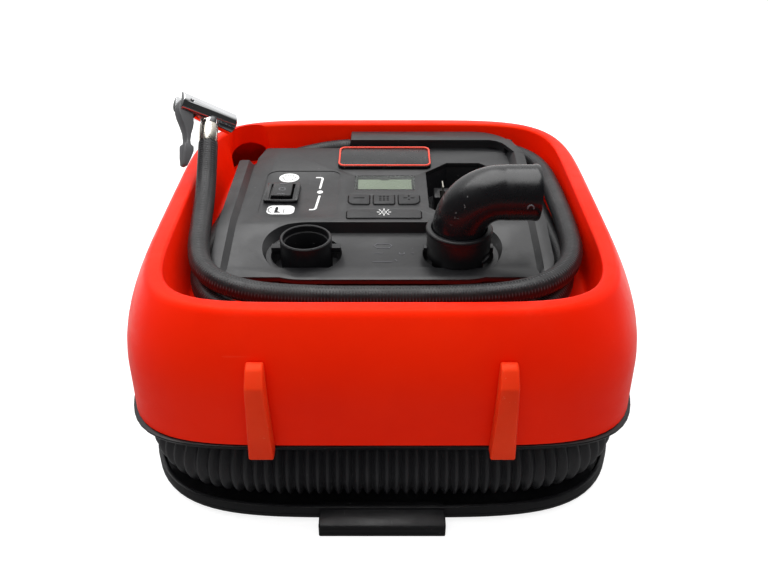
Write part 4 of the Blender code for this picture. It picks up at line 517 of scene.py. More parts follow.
finishes = {
    "shell": moulded("orangeShell", (0.82, 0.009, 0.0004), (0.88, 0.013, 0.0006), (0.36, 0.46),
                     grain=0.2, scale=1500.0, dust=0.25, scuff=0.03, specks=(0.95, 0.45, 0.3),
                     Specular_IOR_Level=0.28, Specular_Tint=(1.0, 0.4, 0.1, 1.0)),
    "panel": moulded("panelGrey", (0.004, 0.004, 0.005), (0.007, 0.007, 0.008), (0.36, 0.46),
                     grain=0.4, scale=1300.0, dust=0.6, scuff=0.25, specks=(0.3, 0.3, 0.3),
                     Specular_IOR_Level=0.62),
    "black": moulded("blackPlastic", (0.004, 0.004, 0.005), (0.006, 0.006, 0.007), (0.34, 0.46),
                     grain=0.35, scale=1100.0, dust=0.5, scuff=0.3, specks=(0.3, 0.3, 0.3)),
    "gloss": moulded("glossBlack", (0.004, 0.004, 0.005), (0.006, 0.006, 0.007), (0.22, 0.32),
                     grain=0.2, scale=1100.0, dust=0.6, scuff=0.3, specks=(0.35, 0.35, 0.35)),
    "coral": moulded("coralRim", (0.8, 0.06, 0.03), (0.88, 0.08, 0.045), (0.3, 0.42),
                     grain=0.15, dust=0.2, scuff=0.2, specks=(0.8, 0.4, 0.3)),
    # pale grey: print on the panel and rocker, and a painted highlight on the elbow's moulded ring
    "greyInkAndHighlight": moulded("printedGreyAndHighlight", (0.09, 0.09, 0.1), (0.12, 0.12, 0.13), (0.42, 0.55),
                       grain=0.2, dust=0.1, scuff=0.4, specks=(0.1, 0.1, 0.1)),
    "grey": moulded("greyPlastic", (0.06, 0.06, 0.063), (0.075, 0.075, 0.079), (0.4, 0.52),
                    grain=0.3, scale=900.0, dust=0.3, scuff=0.4, specks=(0.3, 0.3, 0.3)),
    "ribbed": moulded("ribbedHose", (0.012, 0.012, 0.014), (0.02, 0.02, 0.022), (0.3, 0.42),
                      grain=0.25, scale=900.0, dust=0.45, scuff=0.2, specks=(0.28, 0.28, 0.27),
                      Specular_IOR_Level=0.75),
    "keys": moulded("keyRubber", (0.008, 0.008, 0.009), (0.012, 0.012, 0.013), (0.46, 0.58),
                    grain=0.3, scale=1500.0, dust=0.6, scuff=0.1),
    "rubber": moulded("softRubber", (0.018, 0.018, 0.019), (0.028, 0.028, 0.03), (0.66, 0.82),
                      grain=0.6, scale=800.0, dust=0.8, scuff=0.1, specks=(0.4, 0.4, 0.38)),
    "white": moulded("whitePlastic", (0.74, 0.74, 0.72), (0.8, 0.8, 0.78), (0.38, 0.5),
                     grain=0.15, dust=0.2, scuff=0.1, specks=(0.5, 0.5, 0.48)),
    "ink": moulded("printedWhite", (0.82, 0.82, 0.81), (0.9, 0.9, 0.89), (0.42, 0.55),
                   grain=0.2, dust=0.1, scuff=0.3, specks=(0.45, 0.45, 0.45)),
    # near black: print on the tyre symbol, and painted shadow round the display
    "darkInkAndShadow": moulded("printedDarkAndShadow", (0.006, 0.006, 0.007), (0.01, 0.01, 0.011), (0.45, 0.6),
                       grain=0.2,
                       dust=0.1, Specular_IOR_Level=0.25),
    "board": moulded("boardGreen", (0.01, 0.12, 0.045), (0.014, 0.15, 0.06), (0.3, 0.42),
                     grain=0.2, scale=400.0),
    "display": moulded("displayGlass", (0.13, 0.155, 0.11), (0.165, 0.195, 0.14), (0.3, 0.36),
                       grain=0.0, dust=0.0, scuff=0.0),
    "chrome": polishedMetal("chromePlate", (0.86, 0.87, 0.88), (0.05, 0.14)),
    "nickel": polishedMetal("nickelPlate", (0.72, 0.68, 0.6), (0.2, 0.34)),
    "steel": polishedMetal("brightSteel", (0.56, 0.56, 0.57), (0.22, 0.38)),
    "brass": polishedMetal("turnedBrass", (0.72, 0.52, 0.2), (0.18, 0.32)),
    "alloy": polishedMetal("castAlloy", (0.58, 0.59, 0.61), (0.38, 0.55)),
    "hose": hoseRubber(),
    "frosted": moulded("frostedRed", (0.74, 0.026, 0.004), (0.84, 0.042, 0.008), (0.42, 0.55),
                       grain=0.35, scale=700.0, dust=0.35, scuff=0.2, specks=(0.9, 0.5, 0.3),
                       Specular_IOR_Level=0.4, Specular_Tint=(1.0, 0.5, 0.22, 1.0),
                       Subsurface_Weight=0.35, Subsurface_Radius=(1.0, 0.12, 0.08),
                       Subsurface_Scale=0.004),
    "glass": clearWindow(),
}
print("finishes made")


# Camera, then the tyre hose.

cameraLook = {"lens": 37.89, "place": (0.0011, -0.46985, 0.38742), "tilt": 56.47}
camera = bpy.data.objects.new("camera", bpy.data.cameras.new("camera"))
bpy.context.scene.collection.objects.link(camera)
camera.data.lens, camera.data.sensor_width = cameraLook["lens"], 36.0
camera.location = cameraLook["place"]
camera.rotation_euler = (math.radians(cameraLook["tilt"]), 0, 0)
bpy.context.scene.camera = camera

hoseRoute = [
    (0.0455, 0.1005, 0.1224), (0.058, 0.1005, 0.1224), (0.073, 0.097, 0.1224),
    (0.086, 0.0895, 0.1224), (0.096, 0.078, 0.1224), (0.103, 0.062, 0.1224),
    (0.1065, 0.042, 0.1224), (0.1085, 0.015, 0.1224), (0.1108, -0.015, 0.1224),
    (0.1118, -0.042, 0.1224), (0.1092, -0.064, 0.1224), (0.1015, -0.083, 0.1224),
    (0.084, -0.099, 0.1224), (0.058, -0.107, 0.1224), (0.02, -0.1085, 0.1224),
    (-0.02, -0.1085, 0.1224), (-0.058, -0.107, 0.1224), (-0.084, -0.099, 0.1224),
    (-0.1015, -0.083, 0.1224), (-0.1092, -0.064, 0.1224), (-0.1113, -0.042, 0.1224),
    (-0.1092, -0.018, 0.1224), (-0.1055, 0.008, 0.1224), (-0.103, 0.035, 0.1224),
    (-0.1018, 0.059, 0.1224), (-0.0965, 0.0795, 0.1228), (-0.0825, 0.0965, 0.1238),
    (-0.062, 0.107, 0.1265), (-0.04, 0.11, 0.13), (-0.016, 0.1102, 0.1318),
    (0.015, 0.1102, 0.132), (0.045, 0.1102, 0.132), (0.067, 0.1096, 0.132),
    (0.085, 0.1065, 0.132), (0.0995, 0.098, 0.1321), (0.11, 0.085, 0.1323),
    (0.1158, 0.068, 0.1326), (0.1178, 0.042, 0.1335), (0.1182, 0.01, 0.1342),
    (0.1176, -0.025, 0.1348), (0.115, -0.053, 0.1354), (0.1075, -0.074, 0.1359),
    (0.093, -0.09, 0.136), (0.07, -0.0985, 0.1352), (0.035, -0.1012, 0.1344),
    (0.0, -0.1014, 0.1342), (-0.035, -0.1012, 0.1344), (-0.068, -0.0985, 0.1352),
    (-0.09, -0.09, 0.136), (-0.104, -0.075, 0.1366), (-0.1105, -0.056, 0.1377),
    (-0.1135, -0.032, 0.14), (-0.1155, -0.008, 0.1435), (-0.117, 0.011, 0.149),
    (-0.118, 0.025, 0.1562), (-0.1187, 0.0388, 0.1655),
]
hose = {"radius": 0.0066, "steps": 900, "sides": 28}
hosePath = smoothPath(hoseRoute, hose["steps"])


def hoseGirth(along, full):
    return hose["radius"] - 0.00008 * (1 + math.cos(2 * math.pi * along / 0.0052)) / 2


tyreHose = publish("tyre_hose_tube", sweep(hosePath, hoseGirth, hose["sides"]), "hose",
                   stands=("tyre_hose",), smooth=50)
ferruleSkin = dress("hose_ferrule", "nickel", 0.0004)
chuckSkin = dress("chuck_body", "chrome", 0.0005, 3)


def makeLever():  # stations along the arm in mm: how far, its two faces, its two sides
    pivot, along = Vector((-131.5, 50.0, 187.0)), Vector((0, -0.7842, -0.6205))
    across, outward = Vector((0.72, -0.4308, 0.5444)), Vector((-0.694, -0.4469, 0.5648))
    stations = [(-5.8, 0.5, 3.0, -2.7, 3.2), (-4.5, -1.2, 5.0, -2.8, 3.4),
                (-2.5, -2.6, 6.9, -2.8, 3.4),
                (0.0, -3.2, 8.2, -2.7, 3.6), (4.0, -2.6, 9.0, -2.4, 3.9),
                (8.0, -2.2, 8.8, -2.2, 4.1),
                (12.0, -3.0, 7.2, -2.0, 4.3), (16.0, -2.6, 4.9, -1.8, 4.5),
                (21.0, -1.5, 2.5, -1.6, 4.6),
                (26.0, -1.3, 1.5, -1.5, 4.6), (28.6, -1.8, 1.5, -1.7, 4.7),
                (29.6, -3.9, 3.2, -2.2, 5.0),
                (33.0, -4.2, 3.0, -2.2, 5.0), (38.5, -2.8, 2.6, -2.0, 4.6),
                (44.4, -1.3, 1.8, -1.6, 3.2)]
    rings = []
    for far, inner, outer, left, right in stations:
        corners = ((inner, left), (inner, right), (outer, right), (outer, left))
        rings.append([(pivot + along * far + outward * r + across * q) / 1000 for r, q in corners])
    return soften(skin(rings), 0.0008, 3, 40)


leverSkin = publish("chuck_lever_skin", makeLever(), "grey", "chuck_lever", ("chuck_lever",), 50)


# Upper shell.

shell = {"halfX": 0.152, "halfY": 0.147, "power": 5.8, "rimPower": 5.0, "low": 0.0645,
         "height": 0.0815, "inset": 0.015, "turnsAt": 0.35, "rim": 0.0098, "trayPower": 6.3,
         "trayDepth": 0.0305, "draft": 0.0025, "leftSlope": 0.011, "wall": 0.0028,
         "pocket": (-0.0985, 0.103), "pocketRadius": 0.0178, "pocketDepth": 0.007}
rimTop = shell["low"] + shell["height"]
trayFloor = rimTop - shell["trayDepth"]
trayX = shell["halfX"] - shell["inset"] - shell["rim"]
trayY = shell["halfY"] - shell["inset"] - shell["rim"]


def shellRing(share, inward=0.0, height=None):
    turn = max(0.0, (share - shell["turnsAt"]) / (1 - shell["turnsAt"]))
    inset = shell["inset"] * turn ** 2.2 + inward
    power = shell["power"] + (shell["rimPower"] - shell["power"]) * share
    z = shell["low"] + shell["height"] * share if height is None else height
    return squircle(shell["halfX"] - inset, shell["halfY"] - inset, power, z)


def trayRing(z, outward=0.0):
    down = (rimTop - z) / shell["trayDepth"]
    lean = shell["draft"] * down
    left = trayX - shell["leftSlope"] * down + outward
    right = trayX - lean + outward
    return squircle((left + right) / 2, trayY - lean + outward, shell["trayPower"], z,
                    (right - left) / 2)


port = {"x": 0.047, "y": -0.0435, "radius": 0.016, "bore": 0.0134, "top": 0.1398, "well": 0.022,
        "wellFront": 0.0165, "seat": 0.0993}
dock = {"left": 0.031, "right": 0.087, "front": -0.005, "back": 0.073, "chamfer": 0.016,
        "frontChamfer": 0.008, "floor": 0.1137, "top": 0.1322, "wall": 0.0022}


def dockOutline(out=0.0):
    left, right = dock["left"] - out, dock["right"] + out
    front, back = dock["front"] - out, dock["back"] + out
    a, b = dock["frontChamfer"], dock["chamfer"]
    return [(left, front + a), (left + a, front), (right - a, front), (right, front + a),
            (right, back - b), (right - b, back), (left + b, back), (left, back - b)]


def makeShell():
    rings = [trayRing(trayFloor, -0.0024), trayRing(trayFloor + 0.0003, -0.0012),
             trayRing(trayFloor + 0.0012, -0.0003)]
    rings += [trayRing(trayFloor + 0.0024 + step * 0.0065) for step in range(5)]
    edge = 0.0016  # radius of the rim's inner edge
    for step in range(6):
        turn = math.radians(18 * step)
        rings.append(trayRing(rimTop - edge + edge * math.sin(turn),
                              edge * (1 - math.cos(turn))))
    crown = 0.0034  # the rim's outer edge is rounder
    for step in range(8):
        turn = math.radians(90 - 90 * (step + 1) / 8)
        share = 1 - crown * (1 - math.sin(turn)) / shell["height"]
        rings.append(shellRing(share, crown * (1 - math.cos(turn)) * 0.6))
    shares = [0.93 - 0.03 * step for step in range(28)] + [0.08, 0.05, 0.02]
    rings += [shellRing(share) for share in shares]
    low = 0.0008
    rings.append(shellRing(low / shell["height"]))
    rings.append(shellRing(0.0, low))
    rings.append(shellRing(0.0, shell["wall"]))
    rings += [shellRing(share, shell["wall"]) for share in (0.2, 0.4, 0.6, 0.8, 0.9)]
    rings += [trayRing(trayFloor + 0.012, shell["wall"]),
              trayRing(trayFloor - shell["wall"], shell["wall"])]
    bm = skin(rings)
    x, y = shell["pocket"]
    radius, low = shell["pocketRadius"], trayFloor - shell["pocketDepth"]
    cup = turned([(0, trayFloor - 0.001), (radius + shell["wall"], trayFloor - 0.001),
                  (radius + shell["wall"], low - shell["wall"]), (0, low - shell["wall"])])
    hollow = turned([(0, low), (radius - 0.003, low), (radius - 0.0009, low + 0.0009),
                     (radius, low + 0.003), (radius, rimTop + 0.01), (0, rimTop + 0.01)])
    steps = [join(shifted(cup, x, y)), cut(shifted(hollow, x, y)),
             cut(slab(dockOutline(dock["wall"] + 0.0004), trayFloor - 0.01, trayFloor + 0.01))]
    for side in (-1, 1):  # the dock and the ports go down through the tray's floor
        hole = rod(port["radius"] + 0.0003, trayFloor - 0.01, trayFloor + 0.01)
        steps.append(cut(shifted(hole, side * port["x"], port["y"])))
    return carved(bm, steps)


publish("shell_skin", makeShell(), "shell", stands=("upper_shell",), smooth=40)
print("shell made")


# Base: pan, middle frame, corrugated hose.

base = {"bottom": 0.0023, "grooveFloor": 0.008, "lip": 0.0125, "top": 0.0597, "halfX": 0.151,
        "halfY": 0.1453, "power": 4.3, "lipWidth": 0.0028, "coreX": 0.103, "coreY": 0.098,
        "corePower": 5.0, "wall": 0.003, "reach": 0.1564, "blockWidth": 0.075,
        "blockDepth": 0.018}


def makePan():
    def ring(inset, z):
        return squircle(base["halfX"] - inset, base["halfY"] - inset, base["power"], z)

    def coreRing(inset, z):
        return squircle(base["coreX"] - inset, base["coreY"] - inset, base["corePower"], z)

    low, edge, lip = base["bottom"], 0.0022, base["lipWidth"]
    rings = [ring(edge + 0.006, low), ring(edge, low), ring(edge * 0.6, low + 0.0003),
             ring(edge * 0.2, low + 0.0011), ring(0, low + 0.0024)]
    rings += [ring(0, base["lip"] - 0.0008), ring(0.0002, base["lip"] - 0.0002),
              ring(0.0008, base["lip"]),
              ring(lip - 0.0006, base["lip"]), ring(lip, base["lip"] - 0.0006),
              ring(lip, base["grooveFloor"] + 0.001), ring(lip + 0.001, base["grooveFloor"])]
    rings += [coreRing(-0.002, base["grooveFloor"]), coreRing(0, base["grooveFloor"] + 0.002),
              coreRing(0, base["top"]), coreRing(base["wall"], base["top"]),
              coreRing(base["wall"], low + base["wall"])]
    front, half = -base["reach"], base["blockWidth"] / 2
    block = sideSlab([(front, 0), (front + base["blockDepth"], 0),
                      (front + base["blockDepth"], 0.0108),
                      (-base["halfY"], 0.0108), (front + 0.0009, 0.0093), (front, 0.0084)], -half,
                     half)
    soften(block, 0.0009, 3, 60)
    lines = [box(base["blockWidth"] - 0.001, 0.0006, at, at + 0.0004, 0, -base["reach"])
             for at in (0.003, 0.0066)]
    seam = carved(slab([tuple(v.xy) for v in ring(-0.0005, 0)], 0.0066, 0.007),
                  [cut(slab([tuple(v.xy) for v in ring(0.0004, 0)], 0.006, 0.0076))])
    cuts = [cut(line) for line in (*lines, seam)]
    return carved(skin(rings), cuts[2:] + [join(block)] + cuts[:2])


publish("pan_skin", makePan(), "black", stands=("base_pan",), smooth=40)

frameLook = {"low": 0.06, "high": 0.0642, "halfX": 0.1524, "halfY": 0.147, "power": 6.4}


def makeMiddleFrame():
    def ring(inset, z):
        return squircle(frameLook["halfX"] - inset, frameLook["halfY"] - inset, frameLook["power"],
                        z)

    low, high = frameLook["low"], frameLook["high"]
    inner = [squircle(base["coreX"] - base["wall"], base["coreY"] - base["wall"], base["corePower"],
                      z)
             for z in (low, high)]
    rings = [inner[1], ring(0.001, high), ring(0.0002, high - 0.0004), ring(0.0, high - 0.001),
             ring(0.0009, low + 0.0012), ring(0.0014, low + 0.0004), ring(0.0024, low), inner[0],
             inner[1]]
    return skin(rings, False, False)


publish("middle_frame_skin", makeMiddleFrame(), "black", stands=("mid_frame",), smooth=40)

coil = {"radius": 0.0235, "valley": 0.0203, "pitch": 0.00575, "halfX": 0.128, "halfY": 0.1223,
        "power": 5.3, "end": 0.034, "middle": 0.008 + 0.0517 / 2, "sides": 40, "perRib": 8}


def makeCoilHose():
    ring = squircle(coil["halfX"], coil["halfY"], coil["power"], coil["middle"], count=56)
    straight = coil["end"] + coil["radius"] / 2
    run = [p for p in ring if p.y < 0 or abs(p.x) > straight + 0.008]
    start = next(i for i, p in enumerate(run) if p.x < 0 and p.y > 0 and run[i - 1].x > 0)
    run = run[start:] + run[:start]
    ends = [Vector((side * at, coil["halfY"], coil["middle"]))
            for side, at in ((-1, coil["end"]), (-1, straight), (1, straight), (1, coil["end"]))]
    rough = smoothPath([ends[0], ends[1], *run, ends[2], ends[3]], 400)
    length = sum((b - a).length for a, b in zip(rough, rough[1:]))
    ribs = round(length / coil["pitch"])
    path = smoothPath([ends[0], ends[1], *run, ends[2], ends[3]], ribs * coil["perRib"])

    def girth(along, full):  # ribs and the gaps between them are about as wide
        wave = 0.5 - 0.5 * math.cos(2 * math.pi * along / full * ribs)
        return coil["valley"] + (coil["radius"] - coil["valley"]) * wave ** 0.85

    return sweep(path, girth, coil["sides"])


publish("corrugated_hose_tube", makeCoilHose(), "ribbed", stands=("corrugated_hose",), smooth=60)
for name in ("hose_cuff_left", "hose_cuff_right", "hose_spigot"):
    dress(name, "black", 0.0006, 3)
for name in ("stand_foot_left", "stand_foot_right"):
    dress(name, "frosted", 0.0012, 4)
for number in range(1, 5):
    dress(f"rubber_foot_{number}", "rubber", 0.0005)
    repaint(f"case_screw_{number}", "steel")
print("base made")


# Control panel.

panel = {"halfX": 0.104, "front": -0.0705, "back": 0.1, "corner": 0.014, "rearCorner": 0.03,
         "notchX": -0.089, "notchY": 0.069, "deck": 0.1355, "lower": 0.1278, "plate": 0.003,
         "rampFront": -0.06, "rampBack": -0.02, "edge": 0.00035}
pedestal = {"half": 0.094, "front": -0.0635, "back": 0.088, "rightChamfer": 0.024,
            "leftChamfer": 0.037,
            "wall": 0.003}
trough = {"floor": (0.0251, 0.0259), "deck": (0.0312, 0.0267)}  # reach from each port's axis
margin = {"width": 0.0115, "slope": 0.0045, "rise": 0.0042, "taper": (-0.0695, -0.064, -0.0565)}
bridge = {"left": -0.0268, "lean": 0.003, "right": 0.0985, "front": 0.1, "back": 0.116,
          "top": 0.1422, "thick": 0.0027, "corner": 0.03,
          "cornerPlate": [(0.081, 0.1003), (0.0868, 0.0975), (0.09, 0.0943), (0.0922, 0.09),
                          (0.0972, 0.078), (0.1036, 0.077), (0.103, 0.08), (0.1009, 0.0862),
                          (0.0972, 0.0998), (0.0955, 0.102)],
          "cornerWall": [(0.081, 0.1003), (0.0868, 0.0977), (0.0898, 0.0947), (0.0915, 0.0915),
                         (0.093, 0.0915), (0.0925, 0.099), (0.0912, 0.101)]}
window = {"size": (0.0402, 0.0205), "at": (0.0017, 0.0404), "seat": 0.001, "thick": 0.0006,
          "gap": 0.0003}
zone = {"size": (0.052, 0.07), "at": (-0.056, 0.0246), "corner": 0.008, "depth": 0.0005}
keyPlaces = {"key_minus": (-0.0158, 0.0143, 0.0145, 0.014),
             "key_unit": (0.0011, 0.0143, 0.0145, 0.014),
             "key_plus": (0.018, 0.0143, 0.0145, 0.014),
             "key_light": (0.0011, -0.0062, 0.049, 0.012)}
bezel = {"size": (0.0232, 0.0264), "at": (-0.0686, 0.0235), "hole": (0.0172, 0.0236),
         "rise": 0.0017}
badge = {"size": (0.068, 0.03), "at": (0.0015, 0.0775), "low": 0.1356, "front": 0.1378,
         "rear": 0.1396, "corner": 0.005, "rim": 0.0012}


def panelOutline():
    points = arc(panel["halfX"] - panel["corner"], panel["front"] + panel["corner"],
                 panel["corner"], -90, 0, 12)
    points += arc(panel["halfX"] - panel["rearCorner"], panel["back"] - panel["rearCorner"],
                  panel["rearCorner"], 0, 90, 18)
    points += arc(panel["notchX"] + 0.004, panel["back"] - 0.004, 0.004, 90, 180, 5)
    points += [(panel["notchX"] - 0.0035, panel["notchY"] + 0.012),
               (panel["notchX"] - 0.0035, panel["notchY"])]
    points += arc(-panel["halfX"] + 0.002, panel["notchY"] - 0.002, 0.002, 90, 180, 4)
    points += arc(-panel["halfX"] + panel["corner"], panel["front"] + panel["corner"],
                  panel["corner"], 180, 270, 12)
    return points


def pedestalOutline(inward=0.0):
    half = pedestal["half"] - inward
    front, back = pedestal["front"] + inward, pedestal["back"] - inward
    right, left = pedestal["rightChamfer"], pedestal["leftChamfer"]
    return [(-half, front), (half, front), (half, back - right), (half - right, back),
            (left - half, back), (-half, back - left)]


def deckHeight(y):
    share = (y - panel["rampFront"]) / (panel["rampBack"] - panel["rampFront"])
    return panel["lower"] + (panel["deck"] - panel["lower"]) * min(max(share, 0.0), 1.0)


def troughRing(reach, z):
    points = []
    for side, start in ((1, -90), (-1, 90)):
        for x, y in arc(0, 0, 1, start, start + 180, 40):
            points.append(Vector((side * port["x"] + reach[0] * x, port["y"] + reach[1] * y, z)))
    return points


def makeTrough():
    top = panel["deck"] + 0.0005
    return skin([troughRing(trough["floor"], panel["lower"]), troughRing(trough["deck"], top),
                 troughRing(trough["deck"], top + 0.02)])


def makeMargin(side):  # the raised edge, with a sloped inner side, fading out at the front corner
    places = [(y, rise) for y, rise in zip(margin["taper"], (0.0002, 0.0028, margin["rise"]))]
    places += [(y, margin["rise"]) for y in (panel["rampBack"] - 0.012, panel["rampBack"])]
    outer = side * panel["halfX"]
    stations = [(Vector((outer, y, 0)), Vector((-side, 0, 0)), rise) for y, rise in places]
    if side < 0:
        stations.append((Vector((outer, panel["notchY"], 0)), Vector((1, 0, 0)), margin["rise"]))
    else:  # on the right it rises to the bridge
        full = bridge["top"] - panel["deck"]
        for y, share in ((0.05, 0.0), (0.06, 0.25), (0.07, 0.75), (0.078, 1.0), (0.0995, 1.0)):
            rise = margin["rise"] + (full - margin["rise"]) * share
            stations.append((Vector((outer, y, 0)), Vector((-1, 0, 0)), rise))
    rings = []
    for edge, inward, rise in stations:
        foot = edge + inward * margin["width"]
        crest = edge + inward * (margin["width"] - margin["slope"])
        ground = deckHeight(edge.y)
        rings.append([Vector((*foot.xy, ground - 0.0015)), Vector((*edge.xy, ground - 0.0015)),
                      Vector((*edge.xy, ground + rise)), Vector((*crest.xy, ground + rise))])
    trim = slab(panelOutline(), panel["lower"] - 0.01, panel["deck"] + 0.02)
    return carved(skin(rings), [("INTERSECT", trim)])


def makeBridge():
    low, high = panel["deck"] - panel["plate"], bridge["top"]
    outline = [(bridge["left"], bridge["back"]), (bridge["left"], bridge["front"]),
               (bridge["right"], bridge["front"])]
    outline += arc(bridge["right"] - bridge["corner"], bridge["back"] - bridge["corner"],
                   bridge["corner"], 29, 90, 14)
    solid = slab(outline, low, high)
    for vert in solid.verts:  # the left end leans
        if vert.co.x < bridge["left"] + 1e-6 and vert.co.z > high - 1e-6:
            vert.co.x += bridge["lean"]
    inner = box(0.3, 0.05, low - 0.01, high - bridge["thick"],
                0.0, bridge["front"] + bridge["thick"] + 0.025)
    plate = slab(bridge["cornerPlate"], high - bridge["thick"], high)
    wall = slab(bridge["cornerWall"], panel["deck"] - 0.001, high - 0.001)
    return carved(solid, [cut(inner), join(plate), join(wall)])


def makePanel():
    low, deck, far = panel["lower"] - panel["plate"], panel["deck"], 0.3
    under = deck - panel["plate"]
    steps = [cut(sideSlab([(-far, low - 0.003), (far, low - 0.003), (far, under),
                                      (panel["rampBack"], under), (panel["rampFront"], low),
                           (-far, low)],
                                     -far, far))]
    foot = carved(slab(pedestalOutline(), trayFloor + 0.0003, under + 0.0015),
                  [cut(slab(pedestalOutline(pedestal["wall"]), trayFloor - 0.003, under))])
    reach = [half + panel["plate"] for half in trough["deck"]]
    steps += [join(foot), join(skin([troughRing(reach, low), troughRing(reach, deck - 0.0015)]))]
    steps.append(cut(sideSlab([(-far, panel["lower"]), (panel["rampFront"], panel["lower"]),
                                          (panel["rampBack"], deck), (far, deck), (far, far),
                               (-far, far)],
                                         -far, far)))
    steps.append(cut(makeTrough()))
    dip = math.degrees(math.asin(port["wellFront"] / port["well"]))
    for side in (-1, 1):
        steps.append(join(makeMargin(side)))
        well = slab(arc(side * port["x"], port["y"], port["well"], -dip, 180 + dip, 56),
                    low - 0.003, deck + 0.003)
        steps.append(cut(well))
    steps.append(join(makeBridge()))
    x, y = window["at"]
    wide, deep = window["size"]
    steps += [cut(slab(dockOutline(), under - 0.003, deck + 0.003)),
              cut(box(wide, deep, under - 0.003, deck + 0.003, x, y)),
              cut(slab(roundBox(wide + 2 * window["seat"], deep + 2 * window["seat"], 0.0015, x, y),
                                  deck - window["thick"] - 0.0001, deck + 0.003)),
              cut(box(*bezel["hole"], under - 0.003, deck + 0.003, *bezel["at"])),
              cut(slab(roundBox(*zone["size"], zone["corner"], *zone["at"]),
                                  deck - zone["depth"], deck + 0.003))]
    for name, (keyX, keyY, wide, deep) in keyPlaces.items():
        hole = roundBox(wide + 0.0008, deep + 0.0008, keyCorners(name, 0.0004), keyX, keyY)
        steps.append(cut(slab(hole, under - 0.003, deck + 0.003)))
    return carved(slab(panelOutline(), low, deck), steps)


def keyCorners(name, grow=0.0):  # front right, rear right, rear left, front left
    round_ = {"key_minus": (0.0012, 0.0012, 0.0022, 0.005),
              "key_plus": (0.005, 0.0022, 0.0012, 0.0012),
              "key_unit": (0.0012,) * 4, "key_light": (0.0012, 0.004, 0.004, 0.0012)}[name]
    return tuple(radius + grow for radius in round_)


publish("panel_skin", soften(makePanel(), panel["edge"], 2, 33), "panel", stands=("control_panel",),
        smooth=35)
print("panel made")


# Printed and raised marks.

def ribbon(points, width, low, high, closed=False):  # a flat strip of even width along points
    spots = [Vector(p) for p in points]
    bm = bmesh.new()
    pairs = []
    for i, spot in enumerate(spots):
        first, last = i == 0 and not closed, i + 1 == len(spots) and not closed
        a = spots[1] - spot if first else spot - spots[i - 1]
        b = spot - spots[i - 1] if last else spots[(i + 1) % len(spots)] - spot
        a, b = a.normalized(), b.normalized()
        normal = Vector((-(a + b).y, (a + b).x)).normalized()
        reach = width / 2 / max(0.4, normal.dot(Vector((-a.y, a.x))))
        pairs.append([bm.verts.new((*(spot + normal * reach * side), low)) for side in (1, -1)])
    rows = list(zip(pairs, pairs[1:])) + ([(pairs[-1], pairs[0])] if closed else [])
    faces = [bm.faces.new((p[0], p[1], q[1], q[0])) for p, q in rows]
    made = bmesh.ops.extrude_face_region(bm, geom=faces)["geom"]
    bmesh.ops.translate(bm, verts=list(filter(isVert, made)), vec=(0, 0, high - low))
    return bm


def disc(x, y, radiusX, radiusY, low, high, steps=40):
    return slab([(x + radiusX * c, y + radiusY * s) for c, s in arc(0, 0, 1, 0, 360, steps)[:-1]],
                low, high)


zoneTop = panel["deck"] - zone["depth"]
ink = {"low": zoneTop - 0.0001, "high": zoneTop + 0.00008, "dark": zoneTop + 0.00014}


def makeZoneMarks():
    low, high = ink["low"], ink["high"]
    stroke = 0.0015
    upper = [(-0.0474, 0.0495), *arc(-0.0446, 0.0473, 0.0022, 90, 5, 6), (-0.0434, 0.032)]
    lower = [(-0.0429, 0.0213), *arc(-0.0466, 0.0032, 0.0022, -5, -90, 6), (-0.0486, 0.001)]
    return added(disc(-0.0664, 0.049, 0.0071, 0.007, low, high),
                 slab(roundBox(0.0182, 0.0122, 0.0042, -0.0674, 0.0006), low, high),
                 ribbon(upper, stroke, low, high), ribbon(lower, stroke, low, high),
                 disc(-0.043, 0.0267, 0.002, 0.0023, low, high, 24))


def makeZoneSymbols():  # a fan's petals, and a tyre with its valve
    low, high = ink["low"], ink["dark"]
    pieces, grey = [], []
    for petal in range(6):
        turn = math.radians(60 * petal)
        x, y = -0.0664 + 0.0034 * math.cos(turn), 0.049 + 0.0035 * math.sin(turn)
        grey.append(ribbon(arc(x, y, 0.0013, 60 * petal - 100, 60 * petal + 120, 8), 0.0005, low,
                           high))
    pieces.append(ribbon(arc(-0.0715, 0.0006, 0.0042, 115, 245, 12), 0.0007, low, high))
    pieces.append(slab([(-0.0716, -0.0036), (-0.0674, -0.0036), (-0.0676, -0.0022),
                        (-0.0692, -0.0016),
                        (-0.0692, 0.0036), (-0.0698, 0.0048), (-0.0706, 0.0048), (-0.0711, 0.0036),
                        (-0.0711, 0.001)], low, high))
    pieces.append(ribbon([(-0.0652, -0.0034), (-0.0652, 0.0016)], 0.0005, low, high))
    return added(*grey), added(*pieces)


publish("zone_marks", makeZoneMarks(), "ink")
for name, bm, finish in zip(("fan_symbol", "tyre_symbol"), makeZoneSymbols(),
                            ("greyInkAndHighlight", "darkInkAndShadow")):
    publish(name, bm, finish)


def makeFloorMarks():  # thin raised lines on the trough's floor
    low, high = panel["lower"] - 0.0002, panel["lower"] + 0.00022
    line = 0.0005
    loop = [(-0.0052, -0.034), (-0.0036, -0.0319), (0.0048, -0.0319), (0.0061, -0.0338),
            (0.0042, -0.037),
            (-0.003, -0.037)]
    marks = [ribbon(loop, line, low, high, closed=True),
             ribbon([(-0.0052, -0.0433), (0.0002, -0.0433)], line, low, high),
             ribbon([(-0.006, -0.0531), (0.0063, -0.0531)], line, low, high),
             ribbon([(0.0078, -0.0502), (0.0092, -0.0526)], line, low, high),
             ribbon(arc(0.0122, -0.043, 0.0016, 150, 390, 8), line, low, high),
             ribbon([(0.0182, -0.0432), (0.0198, -0.0432)], line, low, high)]
    return added(*marks)


publish("floor_marks", makeFloorMarks(), "greyInkAndHighlight", smooth=20)


# Gauge, keys, switch, badge.

display = {"low": 0.1322, "high": 0.1347}


def makeDisplay():
    wide, deep = window["size"]
    bm = slab(roundBox(wide - 0.0004, deep - 0.0004, 0.0006, *window["at"], 2), display["low"],
              display["high"])
    return soften(bm, 0.0001, 1)


